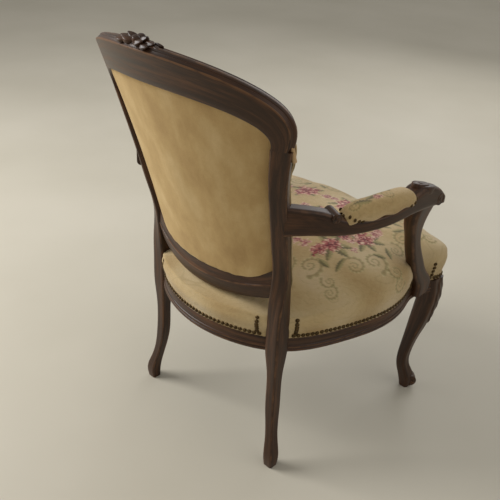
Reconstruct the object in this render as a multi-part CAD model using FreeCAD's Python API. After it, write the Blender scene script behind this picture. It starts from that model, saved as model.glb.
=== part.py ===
import FreeCAD
import Part
import math
import os
from FreeCAD import Vector

# Fauteuil with a hollow cabriolet back, raked arm supports and a sprung seat, in millimetres.
# The sitter faces -Y and +Z is up. Plan positions are measured from a line under the seat,
# and the last step moves the chair so that its box is centred over the origin.

# seat frame
rail_bottom = 300.0         # underside of the seat rails
show_wood = 35.0            # height of the bare moulded edge of the rails
rail_height = 75.0
rail_thick = 34.0
rear_reach = 290.0          # outer face of the rear rail on the centre line
front_reach = 325.0         # outer face of the front rail on the centre line
side_reach = 290.0          # outer face of a side rail where the seat is widest
side_widest_y = -25.0
side_waist = 267.0          # outer face of a side rail just behind the front leg
cloth_set_back = 2.0        # the cloth starts this far inside the bare edge
cloth_thick = 2.5
clearance = 0.3

# back posts, each one piece with a rear leg
post_x = 190.0
post_y = 223.0
post_side = 37.0
post_foot_side = 23.0
post_toe_side = 27.0
post_ankle_side = 23.0
post_shank_side = 28.0
post_kick_out = 24.0        # how far the foot stands outside the post
post_kick_back = 20.0
stile_width = 34.0
stile_depth = 28.0
shoulder_gain = 6.0         # extra width of the stile at the shoulder

# back, a hollow surface that its rear faces follow
back_reach = 320.0          # rear face on the centre line at arm height
arm_level = 600.0
back_lean = 0.292           # slope at arm height
back_sweep = 0.000146       # the slope grows with height
back_hollow = 0.00132       # the sides come forward by this times the square of x
opening_foot = 493.0        # height where the opening's straight sides begin
opening_foot_half = 184.0
opening_splay = 0.098       # the opening widens by this for each millimetre of height
opening_flare = 9.0         # and by this more towards the shoulder
crest_joint = 790.0
opening_shoulder = 802.0
opening_top = 871.0
opening_half = 225.0
crest_shoulder = 835.0
crest_half = 266.0
crest_top = 944.0
frame_depth = 33.0          # the crest and lower rail, from back to front
lower_rail_foot = 408.0
lower_rail_edge = 440.0     # rear edge under the bevelled ledge
lower_rail_top = 476.0
lower_rail_bevel = 11.0     # how far the ledge runs forward

# front legs
knee_x = 262.0
knee_y = -254.0
knee_side = 48.0
ankle_in = 12.0             # the ankle stands this far inside the knee
ankle_back = 36.0           # and this far behind it
ankle_side = 28.0
toe_side = 34.0
front_pad_side = 24.0

# arms and their supports
arm_under = 598.0           # underside of the arm at mid length
arm_wood = 28.0             # height of the arm under its pad
arm_width = 42.0
arm_bow = 304.0             # centre of the arm where it bows out furthest
arm_tip_y = -130.0
hand_height = 58.0
pad_height = 40.0
pad_rear_y = 158.0
pad_front_y = -22.0
support_foot_x = 268.0
support_foot_y = -193.0
support_foot_z = 312.0      # the foot laps over the rail down to here
support_rake = 116.0        # the top stands this far behind the foot
support_spread = 34.0       # and this far outside it
support_foot_length = 56.0
support_waist = 36.0
support_thick = 29.0

# upholstery
seat_crown = 455.0
seat_edge = 405.0           # height of the seat's rounded edge
seat_bulge = 5.0
seat_dip = 34.0             # the crown sinks by this towards the back, under the lower rail
seat_dip_reach = 200.0      # over this distance behind the middle
rail_ease = 1.0             # room between the rails and the cover round them
hessian_thick = 1.0
webbing_width = 50.0
webbing_thick = 2.0
webbing_pitch = 82.0
spring_radius = 33.0
spring_wire = 3.5
spring_turns = 4
dust_cover_thick = 0.8
back_margin = 15.0          # the inside back laps the frame by this
back_crown = 34.0
back_edge = 9.0             # thickness of the inside back pad at its edge
panel_depth = 10.0          # the outside back cloth is set in by this
panel_thick = 1.5

# fastenings
nail_radius = 5.0
nail_height = 3.0
nail_pitch = 10.6
dowel_radius = 4.5
dowel_length = 46.0
dowel_rise = 8.0            # lowest dowel over the underside of the rails
dowel_step = 16.0           # a post's side dowels stand this far over its rear or front ones
dowel_pitch = 40.0
screw_radius = 2.5
screw_length = 50.0
screw_head_radius = 5.0
screw_head_height = 3.0
block_reach = 26.0          # how far a corner block stands out from its post or leg, both ways
block_height = 40.0

rail_top = rail_bottom + rail_height
show_top = rail_bottom + show_wood
far = 1200.0


def mirrored(shape):
    return shape.mirror(Vector(0, 0, 0), Vector(1, 0, 0))


def both(points):
    """Points given for x >= 0, from the centre line outwards, joined to their mirror images."""
    other = [Vector(-p.x, p.y, p.z) for p in points if p.x > 0]
    return other[::-1] + points


def spline(points, closed=False):
    curve = Part.BSplineCurve()
    curve.interpolate(points, PeriodicFlag=closed)
    return curve


def smooth_loop(points):
    """A closed loop through points, as four smooth curves that run on into each other."""
    count = len(points)
    starts = [round(k * count / 4) for k in range(5)]
    edges = []
    for first, last in zip(starts, starts[1:]):
        ring = [points[i % count] for i in range(first - 1, last + 2)]
        start = ring[2] - ring[0]
        end = ring[-1] - ring[-3]
        curve = Part.BSplineCurve()
        curve.interpolate(ring[1:-1], InitialTangent=start.normalize(),
                          FinalTangent=end.normalize())
        edges.append(curve.toShape())
    return Part.Wire(edges)


def box_between(x0, x1, y0, y1, z0, z1):
    return Part.makeBox(x1 - x0, y1 - y0, z1 - z0, Vector(x0, y0, z0))


def rounded_section(centre, along, up, width, height, radius):
    """A rounded rectangle about a centre, width along one direction and height along the other."""
    w = width / 2
    h = height / 2
    k = radius * (1 - math.sqrt(0.5))
    edges = []
    turns = [(1, 1), (-1, 1), (-1, -1), (1, -1)]

    def place(a, b):
        return centre + along * a + up * b

    corners = []
    for sx, sy in turns:
        flat = place(sx * w, sy * (h - radius))
        middle = place(sx * (w - k), sy * (h - k))
        top = place(sx * (w - radius), sy * h)
        corners.append((flat, middle, top) if sx * sy > 0 else (top, middle, flat))
    for i, corner in enumerate(corners):
        edges.append(Part.Arc(*corner).toShape())
        edges.append(Part.makeLine(corner[2], corners[(i + 1) % 4][0]))
    return Part.Wire(edges)


def level_section(x, y, z, width, depth, turn=0.0):
    """A level section of a post or leg, turned by some degrees as the back's curve turns."""
    a = math.radians(turn)
    along = Vector(math.cos(a), -math.sin(a), 0)
    across = Vector(math.sin(a), math.cos(a), 0)
    return rounded_section(Vector(x, y, z), along, across, width, depth, min(width, depth) * 0.18)


def loft(wires):
    return Part.makeLoft(wires, True, False)


# The seat's plan outline, inset by some distance from the outer face of the bare edge.
def outline_points():
    rear_bow = rear_reach - post_y
    side_span = side_reach - post_x
    front = [
        Vector(0, -front_reach, 0),
        Vector(0.5 * knee_x, -front_reach + 5, 0),
        Vector(0.88 * knee_x, knee_y - 45, 0),
        Vector(knee_x + 20, knee_y - 18, 0),
        Vector(side_waist, knee_y + 68, 0),
    ]
    side = [
        Vector(side_reach - 9, side_widest_y - 92, 0),
        Vector(side_reach, side_widest_y, 0),
        Vector(post_x + 0.75 * side_span, side_widest_y + 0.45 * (post_y - side_widest_y), 0),
        Vector(post_x + 14, post_y - 13, 0),
    ]
    rear = [
        Vector(0.55 * post_x, rear_reach - 0.27 * rear_bow, 0),
        Vector(0, rear_reach, 0),
    ]
    return front + side + rear


def outline_loop(inset, z, shrink=0.0, steps=32):
    """The outline moved inwards square to itself, and drawn in towards the middle by a share."""
    half = outline_points()
    other = [Vector(-p.x, p.y, 0) for p in half[1:-1]]
    curve = spline(half + other[::-1], closed=True)
    middle = Vector(0, (rear_reach - front_reach) / 2, 0)
    first = curve.FirstParameter
    last = curve.LastParameter
    points = []
    for i in range(steps):
        t = first + (last - first) * i / steps
        p = curve.value(t)
        along = curve.tangent(t)[0]
        inwards = Vector(-along.y, along.x, 0)
        p = middle + (p - middle) * (1 - shrink) + inwards * inset
        points.append(Vector(p.x, p.y, z))
    return points


def outline_wire(inset, z, shrink=0.0):
    return smooth_loop(outline_loop(inset, z, shrink))


def outline_prism(inset, z0, z1, shrink=0.0):
    return Part.Face(outline_wire(inset, z0, shrink)).extrude(Vector(0, 0, z1 - z0))


def back_y(x, z):
    """Rear face of the back: leans, sweeps further back with height, and hollows towards x = 0."""
    rise = z - arm_level
    return back_reach + back_lean * rise + back_sweep * rise ** 2 - back_hollow * x ** 2


def back_turn(x):
    return math.degrees(math.atan(2 * back_hollow * x))


def opening_edge(z):
    """Half width of the back opening: splays evenly, then flares out towards the shoulder."""
    share = (z - opening_foot) / (crest_joint - opening_foot)
    return opening_foot_half + opening_splay * (z - opening_foot) + opening_flare * share ** 6


def stile_section(z):
    share = (z - opening_foot) / (crest_joint - opening_foot)
    width = stile_width + shoulder_gain * share ** 4
    inner = opening_edge(z)
    turn = back_turn(inner + width / 2)
    a = math.radians(turn)
    x = inner + width / 2 * math.cos(a)
    y = back_y(x, z)
    centre_x = x - math.sin(a) * stile_depth / 2
    centre_y = y - math.cos(a) * stile_depth / 2
    return level_section(centre_x, centre_y, z, width, stile_depth, turn)


def back_post():
    """Left post, from a small toe up through a square block at the seat to the stile's shoulder."""
    leg = [
        (0.0, 1.0, post_foot_side),
        (0.09, 1.03, post_toe_side),
        (0.23, 0.68, post_ankle_side),
        (0.5, 0.15, (post_ankle_side + post_shank_side) / 2),
        (0.83, 0.05, post_shank_side),
        (1.0, 0.0, post_side),
    ]
    wires = []
    for share, kick, side in leg:
        x = post_x + kick * post_kick_out
        y = post_y + kick * post_kick_back
        wires.append(level_section(x, y, share * rail_bottom, side, side))
    wires.append(level_section(post_x, post_y, rail_top, post_side, post_side))
    neck = rail_top + 0.38 * (opening_foot - rail_top)
    wires.append(level_section(post_x, post_y + 1, neck, post_side, post_side - 2, 8))
    for share in (0.02, 0.25, 0.5, 0.75, 1.0):
        wires.append(stile_section(opening_foot + share * (crest_joint - opening_foot)))
    return loft(wires)


# The hollow back as a slab between two depths in front of the rear faces.
def back_slab(depth_0, depth_1):
    rows = []
    for i in range(-4, 5):
        x = i * 80.0
        rows.append([Vector(x, back_y(x, z), z) for z in range(380, 1001, 124)])
    surface = Part.BSplineSurface()
    surface.interpolate(rows)
    face = surface.toShape().translated(Vector(0, -depth_0, 0))
    return face.extrude(Vector(0, depth_0 - depth_1, 0))


def elevation_prism(edges):
    """A closed outline in the X-Z plane, carried right through the back."""
    return Part.Face(Part.Wire(edges)).extrude(Vector(0, far, 0))


def arch_points(half, base, top, power, steps=6):
    """Superellipse quarter from the crown at x = 0 out to the springing at x = half."""
    points = []
    for i in range(steps + 1):
        a = math.radians(90 * (1 - i / steps))
        x = half * max(math.cos(a), 0) ** (2 / power)
        z = base + (top - base) * max(math.sin(a), 0) ** (2 / power)
        points.append(Vector(0 if i == 0 else x, -far / 2, z))
    return points


def stile_outer(z):
    width = stile_width + shoulder_gain
    inner = opening_edge(z)
    return inner + width * math.cos(math.radians(back_turn(inner + width / 2)))


def crest_rail():
    """Arched rail over the posts: outer and inner superellipse arches cut from the hollow slab."""
    outer = arch_points(crest_half, crest_shoulder, crest_top, 2.1)
    outer.append(Vector(stile_outer(crest_joint), -far / 2, crest_joint))
    inner = arch_points(opening_half, opening_shoulder, opening_top, 2.2)
    inner.append(Vector(opening_edge(crest_joint), -far / 2, crest_joint))
    outer = both(outer)
    inner = both(inner)
    edges = [
        spline(outer).toShape(),
        Part.makeLine(outer[-1], inner[-1]),
        spline(inner).toShape(),
        Part.makeLine(inner[0], outer[0]),
    ]
    return back_slab(0, frame_depth).common(elevation_prism(edges))


def petal(centre, length, width, height, angle):
    """A rounded leaf: a sphere stretched three ways and tilted in the plane of the back."""
    matrix = FreeCAD.Matrix()
    matrix.scale(length / 2, height / 2, width / 2)
    leaf = Part.makeSphere(1).transformGeometry(matrix)
    leaf.rotate(Vector(0, 0, 0), Vector(0, 1, 0), -angle)
    leaf.translate(centre)
    return leaf


def crest_carving():
    """Flower spray on the middle of the crest: a rose boss between two fans of leaves."""
    y = back_y(0, crest_top) - frame_depth / 2
    boss = petal(Vector(0, y, crest_top - 1), 32, 26, frame_depth + 6, 0)
    leaves = []
    for side in (1, -1):
        for out, drop, length, angle in ((22, 3, 34, 24), (38, 8, 30, -6)):
            centre = Vector(side * out, y - 1, crest_top - drop)
            leaves.append(petal(centre, length, 15, frame_depth + 2, side * angle))
    return boss.fuse(leaves)


def lower_rail_section(x):
    """Section of the back's lower rail: flat rear face under a bevelled ledge."""
    share = abs(x) / opening_foot_half
    foot = lower_rail_foot + 27 * share ** 2
    edge = lower_rail_edge + 32 * share ** 2
    top = lower_rail_top + 32 * share ** 6
    corners = [
        Vector(x, back_y(x, foot), foot),
        Vector(x, back_y(x, edge), edge),
        Vector(x, back_y(x, top) - lower_rail_bevel, top),
        Vector(x, back_y(x, top) - frame_depth, top),
        Vector(x, back_y(x, foot) - frame_depth, foot),
    ]
    return Part.makePolygon(corners + corners[:1])


def back_lower_rail():
    shares = (-1.03, -0.85, -0.6, -0.3, 0, 0.3, 0.6, 0.85, 1.03)
    return loft([lower_rail_section(s * opening_foot_half) for s in shares])


def front_leg():
    """Left front leg: square block, swelling knee, drawn-in ankle, scroll toe and small pad."""
    profile = [
        (0.0, 0.1, 0.72, front_pad_side),
        (0.09, 0.15, 0.73, toe_side),
        (0.2, 0.95, 0.98, ankle_side + 1),
        (0.35, 1.0, 1.0, ankle_side),
        (0.45, 0.72, 0.82, ankle_side + 3),
        (0.58, 0.3, 0.45, knee_side - 8),
        (0.7, 0.0, 0.14, knee_side - 2),
        (0.87, -0.25, -0.06, knee_side + 1),
        (1.0, 0.0, 0.0, knee_side),
    ]
    wires = []
    for share, inward, backward, side in profile:
        x = knee_x - inward * ankle_in
        y = knee_y + backward * ankle_back
        wires.append(level_section(x, y, share * show_top, side, side))
    wires.append(level_section(knee_x, knee_y, rail_top, knee_side, knee_side))
    return loft(wires)


def above_show_wood(shape):
    """What stands over the bare edge is trimmed to fit under the seat cover."""
    low = shape.common(box_between(-far, far, -far, far, -1, show_top))
    inset = cloth_set_back + cloth_thick + rail_ease
    high = shape.common(outline_prism(inset, show_top, rail_top))
    return low.fuse(high).removeSplitter()


def seat_rail(limits):
    """The part of the seat frame's ring inside a box, with its upper half cut back for cloth."""
    inset = cloth_set_back + cloth_thick + rail_ease
    hollow = outline_prism(0, rail_bottom - 1, rail_top + 1, rail_thick / side_reach)
    bare = outline_prism(0, rail_bottom, show_top).common(limits).cut(hollow)
    covered = outline_prism(inset, show_top, rail_top).common(limits).cut(hollow)
    return bare.fuse(covered)


def arm_start():
    """Middle of the left stile at arm height, where the arm joins it."""
    z = arm_under + arm_wood
    x = opening_edge(z) + stile_width * 0.43
    return x, back_y(x, z) - stile_depth / 2


def arm_path(y):
    """Centre of the arm in plan: a cubic swing out from the stile to the full bow."""
    start_x, start_y = arm_start()
    bow_y = support_foot_y + support_rake + 12
    share = max((y - bow_y) / (start_y - bow_y), 0)
    return arm_bow - (arm_bow - start_x) * share ** 3


def arm_direction(y):
    along = Vector(arm_path(y + 1) - arm_path(y - 1), 2, 0)
    return along.normalize()


def arm_section(y, bottom, height, width, radius):
    along = arm_direction(y)
    across = Vector(along.y, -along.x, 0)
    centre = Vector(arm_path(y), y, bottom + height / 2)
    return rounded_section(centre, across, Vector(0, 0, 1), width, height, radius)


def arm():
    """Left arm: deep at the stile, slim under the pad, and swelling into a scrolled hand."""
    start_y = arm_start()[1]
    span = start_y - arm_tip_y
    profile = [
        (0.0, 7, arm_wood + 33, arm_width - 8),
        (0.1, 7, arm_wood + 26, arm_width - 8),
        (0.19, 3, arm_wood + 18, arm_width - 6),
        (0.37, 0, arm_wood + 1, arm_width - 2),
        (0.53, 0, arm_wood, arm_width),
        (0.66, 1, arm_wood + 10, arm_width),
        (0.78, 0, hand_height, arm_width + 2),
        (0.9, -5, hand_height - 12, arm_width + 4),
        (1.0, -8, hand_height - 36, arm_width + 2),
    ]
    wires = []
    for share, lift, height, width in profile:
        y = start_y - share * span
        wires.append(arm_section(y, arm_under + lift, height, width, 0.3 * min(height, width)))
    return loft(wires)


def arm_support():
    """Left support: a foot lapped over the rail, raking back to a waist and flaring to the arm."""
    height = arm_under + 4 - support_foot_z
    profile = [
        (0.0, 0.0, 0.0, support_foot_length - 8, support_thick - 1),
        (0.12, 0.0, 0.0, support_foot_length, support_thick + 3),
        (0.22, 0.19, 0.06, support_foot_length - 6, support_thick + 2),
        (0.39, 0.46, 0.18, support_waist + 6, support_thick),
        (0.56, 0.7, 0.32, support_waist, support_thick),
        (0.71, 0.89, 0.53, support_waist, support_thick),
        (0.86, 1.01, 0.76, support_waist + 16, support_thick + 4),
        (1.0, 1.0, 1.0, support_waist + 32, support_thick + 8),
    ]
    wires = []
    for share, rake, spread, length, thick in profile:
        x = support_foot_x + spread * support_spread
        y = support_foot_y + rake * support_rake
        wires.append(level_section(x, y, support_foot_z + share * height, thick, length))
    return loft(wires)


# share of the pad's length from its rear end, share of its height, share of its width
pad_profile = [
    (0.0, 0.3, 0.62),
    (0.04, 0.62, 0.82),
    (0.13, 0.88, 0.95),
    (0.35, 1.0, 1.0),
    (0.65, 1.0, 1.02),
    (0.87, 0.9, 1.0),
    (0.96, 0.66, 0.86),
    (1.0, 0.34, 0.66),
]


def pad_spread(y):
    """The pad's width at a place along it, as a share of its full width."""
    share = (pad_rear_y - y) / (pad_rear_y - pad_front_y)
    for (share_0, _, spread_0), (share_1, _, spread_1) in zip(pad_profile, pad_profile[1:]):
        if share_0 <= share <= share_1:
            return spread_0 + (spread_1 - spread_0) * (share - share_0) / (share_1 - share_0)
    return pad_profile[-1][2]


def pad_body(inset):
    """The arm pad's crowned form, cut to the arm's top later, smaller all round by an inset."""
    span = pad_rear_y - pad_front_y
    wires = []
    for share, rise, spread in pad_profile:
        y = pad_rear_y - inset - share * (span - 2 * inset)
        bottom = arm_under + arm_wood - 5
        height = 5 + pad_height * rise - inset
        width = (arm_width + 4) * spread - 2 * inset
        wires.append(arm_section(y, bottom, height, width, 0.4 * min(height, width)))
    return loft(wires)


# The seat's soft form: a wall over the bare edge, a rounded edge, and a crown.
def seat_levels():
    """Height, inset and draw-in of each level section of the seat cover's outside."""
    wall = seat_edge - show_top
    crown = seat_crown - seat_edge
    levels = [
        (show_top + clearance, cloth_set_back, 0.0),
        (show_top + 14, cloth_set_back, 0.0),
        (show_top + 0.5 * wall, cloth_set_back - 0.8 * seat_bulge, 0.0),
        (show_top + 0.8 * wall, cloth_set_back - seat_bulge, 0.0),
    ]
    steps = 8
    for i in range(steps):
        a = math.radians(90 * i / steps)
        levels.append((seat_edge + crown * math.sin(a), 0.0, 0.9 * (1 - math.cos(a) ** 0.9)))
    return levels


def seat_drop(y, z):
    """How far a point of the level sections sinks: a sine towards the back, full at the crown."""
    reach = min(max(y / seat_dip_reach, 0), 1)
    foot = show_top + clearance
    wall = min(max((z - foot) / (seat_edge - foot), 0), 1)
    crown = min(max((z - seat_edge) / (0.4 * (seat_crown - seat_edge)), 0), 1)
    return seat_dip * math.sin(math.radians(90 * reach)) * (0.6 * wall + 0.4 * crown)


def seat_body(inset):
    """A skin through the level sections, closed by a cap at each end."""
    wires = []
    for z, edge_inset, shrink in seat_levels():
        low = 2 if z < show_top + 1 and inset else 0
        sink = inset if z > seat_edge else 0
        loop = outline_loop(edge_inset + inset, z - sink - low, shrink)
        loop = [Vector(p.x, p.y, p.z - seat_drop(p.y, z)) for p in loop]
        if z == seat_levels()[-1][0]:
            loop = [Vector(p.x, p.y, loop[0].z) for p in loop]
        wires.append(smooth_loop(loop))
    return Part.makeLoft(wires, True, True)


def seat_wall_inset(z):
    """Inset of the cover's wall at a height, straight between the level sections."""
    levels = seat_levels()
    for (z0, inset_0, _), (z1, inset_1, _) in zip(levels, levels[1:]):
        if z0 <= z <= z1:
            return inset_0 + (inset_1 - inset_0) * (z - z0) / (z1 - z0)
    return cloth_set_back


def spring(x, y, z0, z1):
    """A coil of round wire from the webbing up to the hessian, on arcs of a quarter turn."""
    rise = z1 - z0 - spring_wire
    quarters = 4 * spring_turns

    def point(k):
        a = math.radians(90 * k)
        height = z0 + spring_wire / 2 + rise * k / quarters
        return Vector(x + spring_radius * math.cos(a), y + spring_radius * math.sin(a), height)

    arcs = [Part.Arc(point(k), point(k + 0.5), point(k + 1)).toShape() for k in range(quarters)]
    climb = Vector(0, 2 * math.pi * spring_radius, rise / spring_turns)
    ring = Part.Wire([Part.Circle(point(0), climb, spring_wire / 2).toShape()])
    return Part.Wire(arcs).makePipeShell([ring], True, False)


# The inside and outside back, as outlines about the opening.
def back_outline(margin, bottom):
    half = arch_points(opening_half + margin, opening_shoulder, opening_top + margin, 2.2)
    for share in (0.8, 0.45, 0.0):
        z = opening_foot + share * (crest_joint - opening_foot)
        half.append(Vector(opening_edge(z) + margin, -far / 2, z))
    corner = opening_foot_half + margin
    half.append(Vector(0.94 * corner, -far / 2, bottom + 0.3 * (opening_foot - bottom)))
    half.append(Vector(0.7 * corner, -far / 2, bottom + 2))
    half.append(Vector(0, -far / 2, bottom))
    other = [Vector(-p.x, p.y, p.z) for p in half[1:-1]]
    return smooth_loop(half + other[::-1])


def back_prism(margin, bottom):
    return elevation_prism(back_outline(margin, bottom).Edges)


def back_crown_depth(x, z):
    """The inside back swells from its edge to its middle, as a product of two parabolas."""
    half = opening_half + back_margin
    foot = lower_rail_foot + back_margin
    top = opening_top + back_margin
    across = 1 - (x / half) ** 2
    up = 1 - ((2 * z - foot - top) / (top - foot)) ** 2
    return back_edge + (back_crown - back_edge) * max(across, 0) * max(up, 0)


def behind_crown(start):
    """Everything from the crowned face back to the frame's front, starting at a depth."""
    rows = []
    for i in range(-6, 7):
        x = i * (opening_half + 2 * back_margin) / 6
        column = []
        for j in range(11):
            z = 400 + j * 50
            column.append(Vector(x, back_y(x, z) - start - back_crown_depth(x, z), z))
        rows.append(column)
    surface = Part.BSplineSurface()
    surface.interpolate(rows)
    return surface.toShape().extrude(Vector(0, far / 4, 0))


def one(shape):
    """The largest solid of a result, without the crumbs that a trimmed edge can leave."""
    return max(shape.Solids, key=lambda solid: solid.Volume)


def nail_at(point, outwards):
    """A domed nail head of two cones, seated on a point and facing a direction."""
    skirt = 0.55 * nail_height
    head = Part.makeCone(nail_radius, 0.76 * nail_radius, skirt)
    crown = Part.makeCone(0.76 * nail_radius, 0.25 * nail_radius, nail_height - skirt,
                          Vector(0, 0, skirt))
    nail = head.fuse(crown)
    turn = FreeCAD.Rotation(Vector(0, 0, 1), outwards)
    nail.Placement = FreeCAD.Placement(point, turn)
    return nail


def spaced(loop, pitch):
    """Points spaced evenly round a closed loop, each with the direction of travel there."""
    count = int(loop.Length / pitch)
    points = loop.discretize(Number=count + 1)[:-1]
    return [(p, (points[(i + 1) % count] - points[i - 1]).normalize())
            for i, p in enumerate(points)]


def seat_nails():
    """Nails round the seat in one row above the bare edge, sorted by the rail they stand on."""
    z = show_top + nail_radius + 1.5
    wire = outline_wire(cloth_set_back - clearance, z)
    rows = {"rear": [], "left": [], "right": [], "front": []}
    reach = post_side / 2 + nail_radius + 1
    foot = support_foot_length / 2 + nail_radius + 2
    for p, along in spaced(wire, nail_pitch):
        at_post = abs(abs(p.x) - post_x) < reach and abs(p.y - post_y) < reach
        at_support = abs(p.x) > support_foot_x / 2 and abs(p.y - support_foot_y) < foot
        if at_post or at_support:
            continue
        nail = nail_at(p, Vector(along.y, -along.x, 0))
        if p.y > post_y:
            rows["rear"].append(nail)
        elif p.y < knee_y:
            rows["front"].append(nail)
        else:
            rows["left" if p.x > 0 else "right"].append(nail)
    return rows


def nail_column(place, top):
    """Nails up the seat's wall, each at the spot of its left half nearest to a plan point."""
    column = []
    z = show_top + 2.7 * nail_radius + 1.5
    while z < top:
        x, y = place(z)
        wire = outline_wire(seat_wall_inset(z) - 2 * clearance, z)
        row = [(p, along) for p, along in spaced(wire, 1.0) if p.x > 0]
        p, along = min(row, key=lambda item: math.hypot(item[0].x - x, item[0].y - y))
        column.append(nail_at(p, Vector(along.y, -along.x, 0)))
        z += nail_pitch
    return column


def support_y(z):
    """Middle of the arm support at a height near its foot."""
    rise = (z - support_foot_z) / (arm_under + 4 - support_foot_z)
    return support_foot_y + support_rake * max(rise - 0.12, 0) * 1.65


def back_front_y(x, z):
    """Front face of the inside back cover."""
    return back_y(x, z) - layer_4 - back_crown_depth(x, z) - cloth_thick


def back_nails():
    """Nails round the inside back, square to the thin edge of its pad."""
    foot = lower_rail_foot + back_margin + nail_radius - 3
    nails = []
    for p, _ in spaced(back_outline(back_margin - nail_radius - 1, foot), nail_pitch):
        slope_x = back_front_y(p.x + 1, p.z) - back_front_y(p.x - 1, p.z)
        slope_z = back_front_y(p.x, p.z + 1) - back_front_y(p.x, p.z - 1)
        outwards = Vector(slope_x, -2, slope_z).normalize()
        seat = Vector(p.x, back_front_y(p.x, p.z), p.z) + outwards * 2 * clearance
        nails.append(nail_at(seat, outwards))
    return nails


def arm_nails():
    """Nails along both sides of the left arm pad, low on its wall."""
    nails = []
    z = arm_under + arm_wood + nail_radius + 1
    end = 0.13 * (pad_rear_y - pad_front_y)
    count = int((pad_rear_y - pad_front_y - 2 * end) / nail_pitch)
    for i in range(count + 1):
        y = pad_rear_y - end - i * nail_pitch
        along = arm_direction(y)
        across = Vector(along.y, -along.x, 0)
        for side in (1, -1):
            reach = (arm_width + 4) / 2 * pad_spread(y) + 0.7
            point = Vector(arm_path(y), y, z) + across * side * reach
            nails.append(nail_at(point, across * side))
    return nails


def dowel(middle, direction):
    start = middle - direction * (dowel_length / 2)
    return Part.makeCylinder(dowel_radius, dowel_length, start, direction)


def left_dowels():
    """Dowels across each joint of the frame's left half, two to a joint."""
    post_face = post_side / 2
    knee_face = knee_side / 2
    pins = []
    x, y = opening_edge(crest_joint) + 17, back_y(opening_edge(crest_joint) + 17, crest_joint)
    lean = Vector(0, back_lean + 2 * back_sweep * (crest_joint - arm_level), 1).normalize()
    for side in (-1, 1):
        middle = Vector(x + 8 * side, y - stile_depth * 0.57 - 4.6 * side, crest_joint)
        pins.append(dowel(middle, lean))
    for z in (lower_rail_foot + 26, lower_rail_foot + 46):
        x = opening_edge(opening_foot) - 7
        middle = Vector(x, back_y(x, z) - frame_depth / 2, z)
        pins.append(dowel(middle, Vector(1, -2 * back_hollow * x, 0).normalize()))
    for z in (rail_bottom + dowel_rise, rail_bottom + dowel_rise + dowel_pitch):
        side_z = z + dowel_step
        pins.append(dowel(Vector(post_x - post_face, post_y + 1, z), Vector(1, 0, 0)))
        pins.append(dowel(Vector(post_x - 1, post_y - post_face, side_z), Vector(0, 1, 0)))
        pins.append(dowel(Vector(knee_x - 8, knee_y + knee_face, side_z), Vector(0, 1, 0)))
        pins.append(dowel(Vector(knee_x - knee_face, knee_y - 13, z), Vector(1, 0, 0)))
    return pins


def corner_block(inner_x, inner_y, away):
    """A glued block in a corner, its long face slanting in front of the post or leg."""
    centre = Vector(inner_x - block_reach / 2, inner_y - away * block_reach / 2, 0)
    size = far
    slab = Part.makeBox(size, size, block_height, Vector(0, -size / 2, 0))
    slab.rotate(Vector(0, 0, 0), Vector(0, 0, 1), 45 * away)
    slab.translate(centre + Vector(0, 0, block_z))
    top = block_z + block_height + 1
    inside = outline_prism(clearance, block_z - 1, top, rail_thick / side_reach)
    quarter = box_between(0, far, min(0, away * far), max(0, away * far), 0, far)
    return slab.common(inside).common(quarter)


def block_screws(inner_x, inner_y, away):
    """Two screws through a corner block, square to its long face, into the post or leg."""
    inwards = Vector(1, away, 0).normalize()
    face = Vector(inner_x - block_reach / 2, inner_y - away * block_reach / 2, 0)
    screws = []
    between = dowel_rise + (dowel_step + dowel_pitch) / 2
    over = dowel_rise + dowel_pitch + dowel_step / 2
    for rise in (between, over):
        start = face + Vector(0, 0, rail_bottom + rise)
        head_start = start - inwards * screw_head_height
        head = Part.makeCylinder(screw_head_radius, screw_head_height, head_start, inwards)
        shank = Part.makeCylinder(screw_radius, screw_length, start, inwards)
        screws.append(head.fuse(shank).removeSplitter())
    return screws


def support_screws():
    """Two screws from inside the left rail into the foot of the arm support."""
    screws = []
    inner = support_foot_x - screw_length * 0.68
    for z in (rail_bottom + 0.42 * rail_height, rail_bottom + 0.78 * rail_height):
        start = Vector(inner, support_foot_y, z)
        head_start = start - Vector(screw_head_height, 0, 0)
        head = Part.makeCylinder(screw_head_radius, screw_head_height, head_start, Vector(1, 0, 0))
        shank = Part.makeCylinder(screw_radius, screw_length * 0.8, start, Vector(1, 0, 0))
        screws.append(head.fuse(shank).removeSplitter())
    return screws


def webbing(along_x):
    """Strips of webbing under the seat rails, one layer running each way."""
    strips = []
    z = rail_bottom - webbing_thick * (2 if along_x else 1)
    inside = outline_prism(rail_thick / 2, z, z + webbing_thick)
    for i in range(-2, 3):
        middle = i * webbing_pitch
        low = middle - webbing_width / 2
        high = middle + webbing_width / 2
        if along_x:
            shift = seat_middle_y
            strip = box_between(-far, far, low + shift, high + shift, z, z + webbing_thick)
        else:
            strip = box_between(low, high, -far, far, z, z + webbing_thick)
        strips += inside.common(strip).Solids
    return strips


def back_webbing():
    """Upright strips behind level ones, tacked across the front of the back frame."""
    strips = []
    prism = back_prism(back_margin - 3, lower_rail_foot + back_margin)
    upright = back_slab(layer_1, layer_2).common(prism)
    level = back_slab(layer_2, layer_3).common(prism)
    for i in (-1, 0, 1):
        low = i * webbing_pitch * 1.5 - webbing_width / 2
        strips += upright.common(box_between(low, low + webbing_width, -far, far, 0, far)).Solids
        low = (opening_top + lower_rail_foot) / 2 + i * webbing_pitch * 1.6 - webbing_width / 2
        strips += level.common(box_between(-far, far, -far, far, low, low + webbing_width)).Solids
    return strips


layer_1 = frame_depth + clearance       # depths of the inside back's layers
layer_2 = layer_1 + webbing_thick
layer_3 = layer_2 + webbing_thick + clearance
layer_4 = layer_3 + hessian_thick
block_z = rail_bottom + dowel_rise + 0.4 * dowel_pitch
seat_middle_y = (rear_reach - front_reach) / 2


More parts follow.
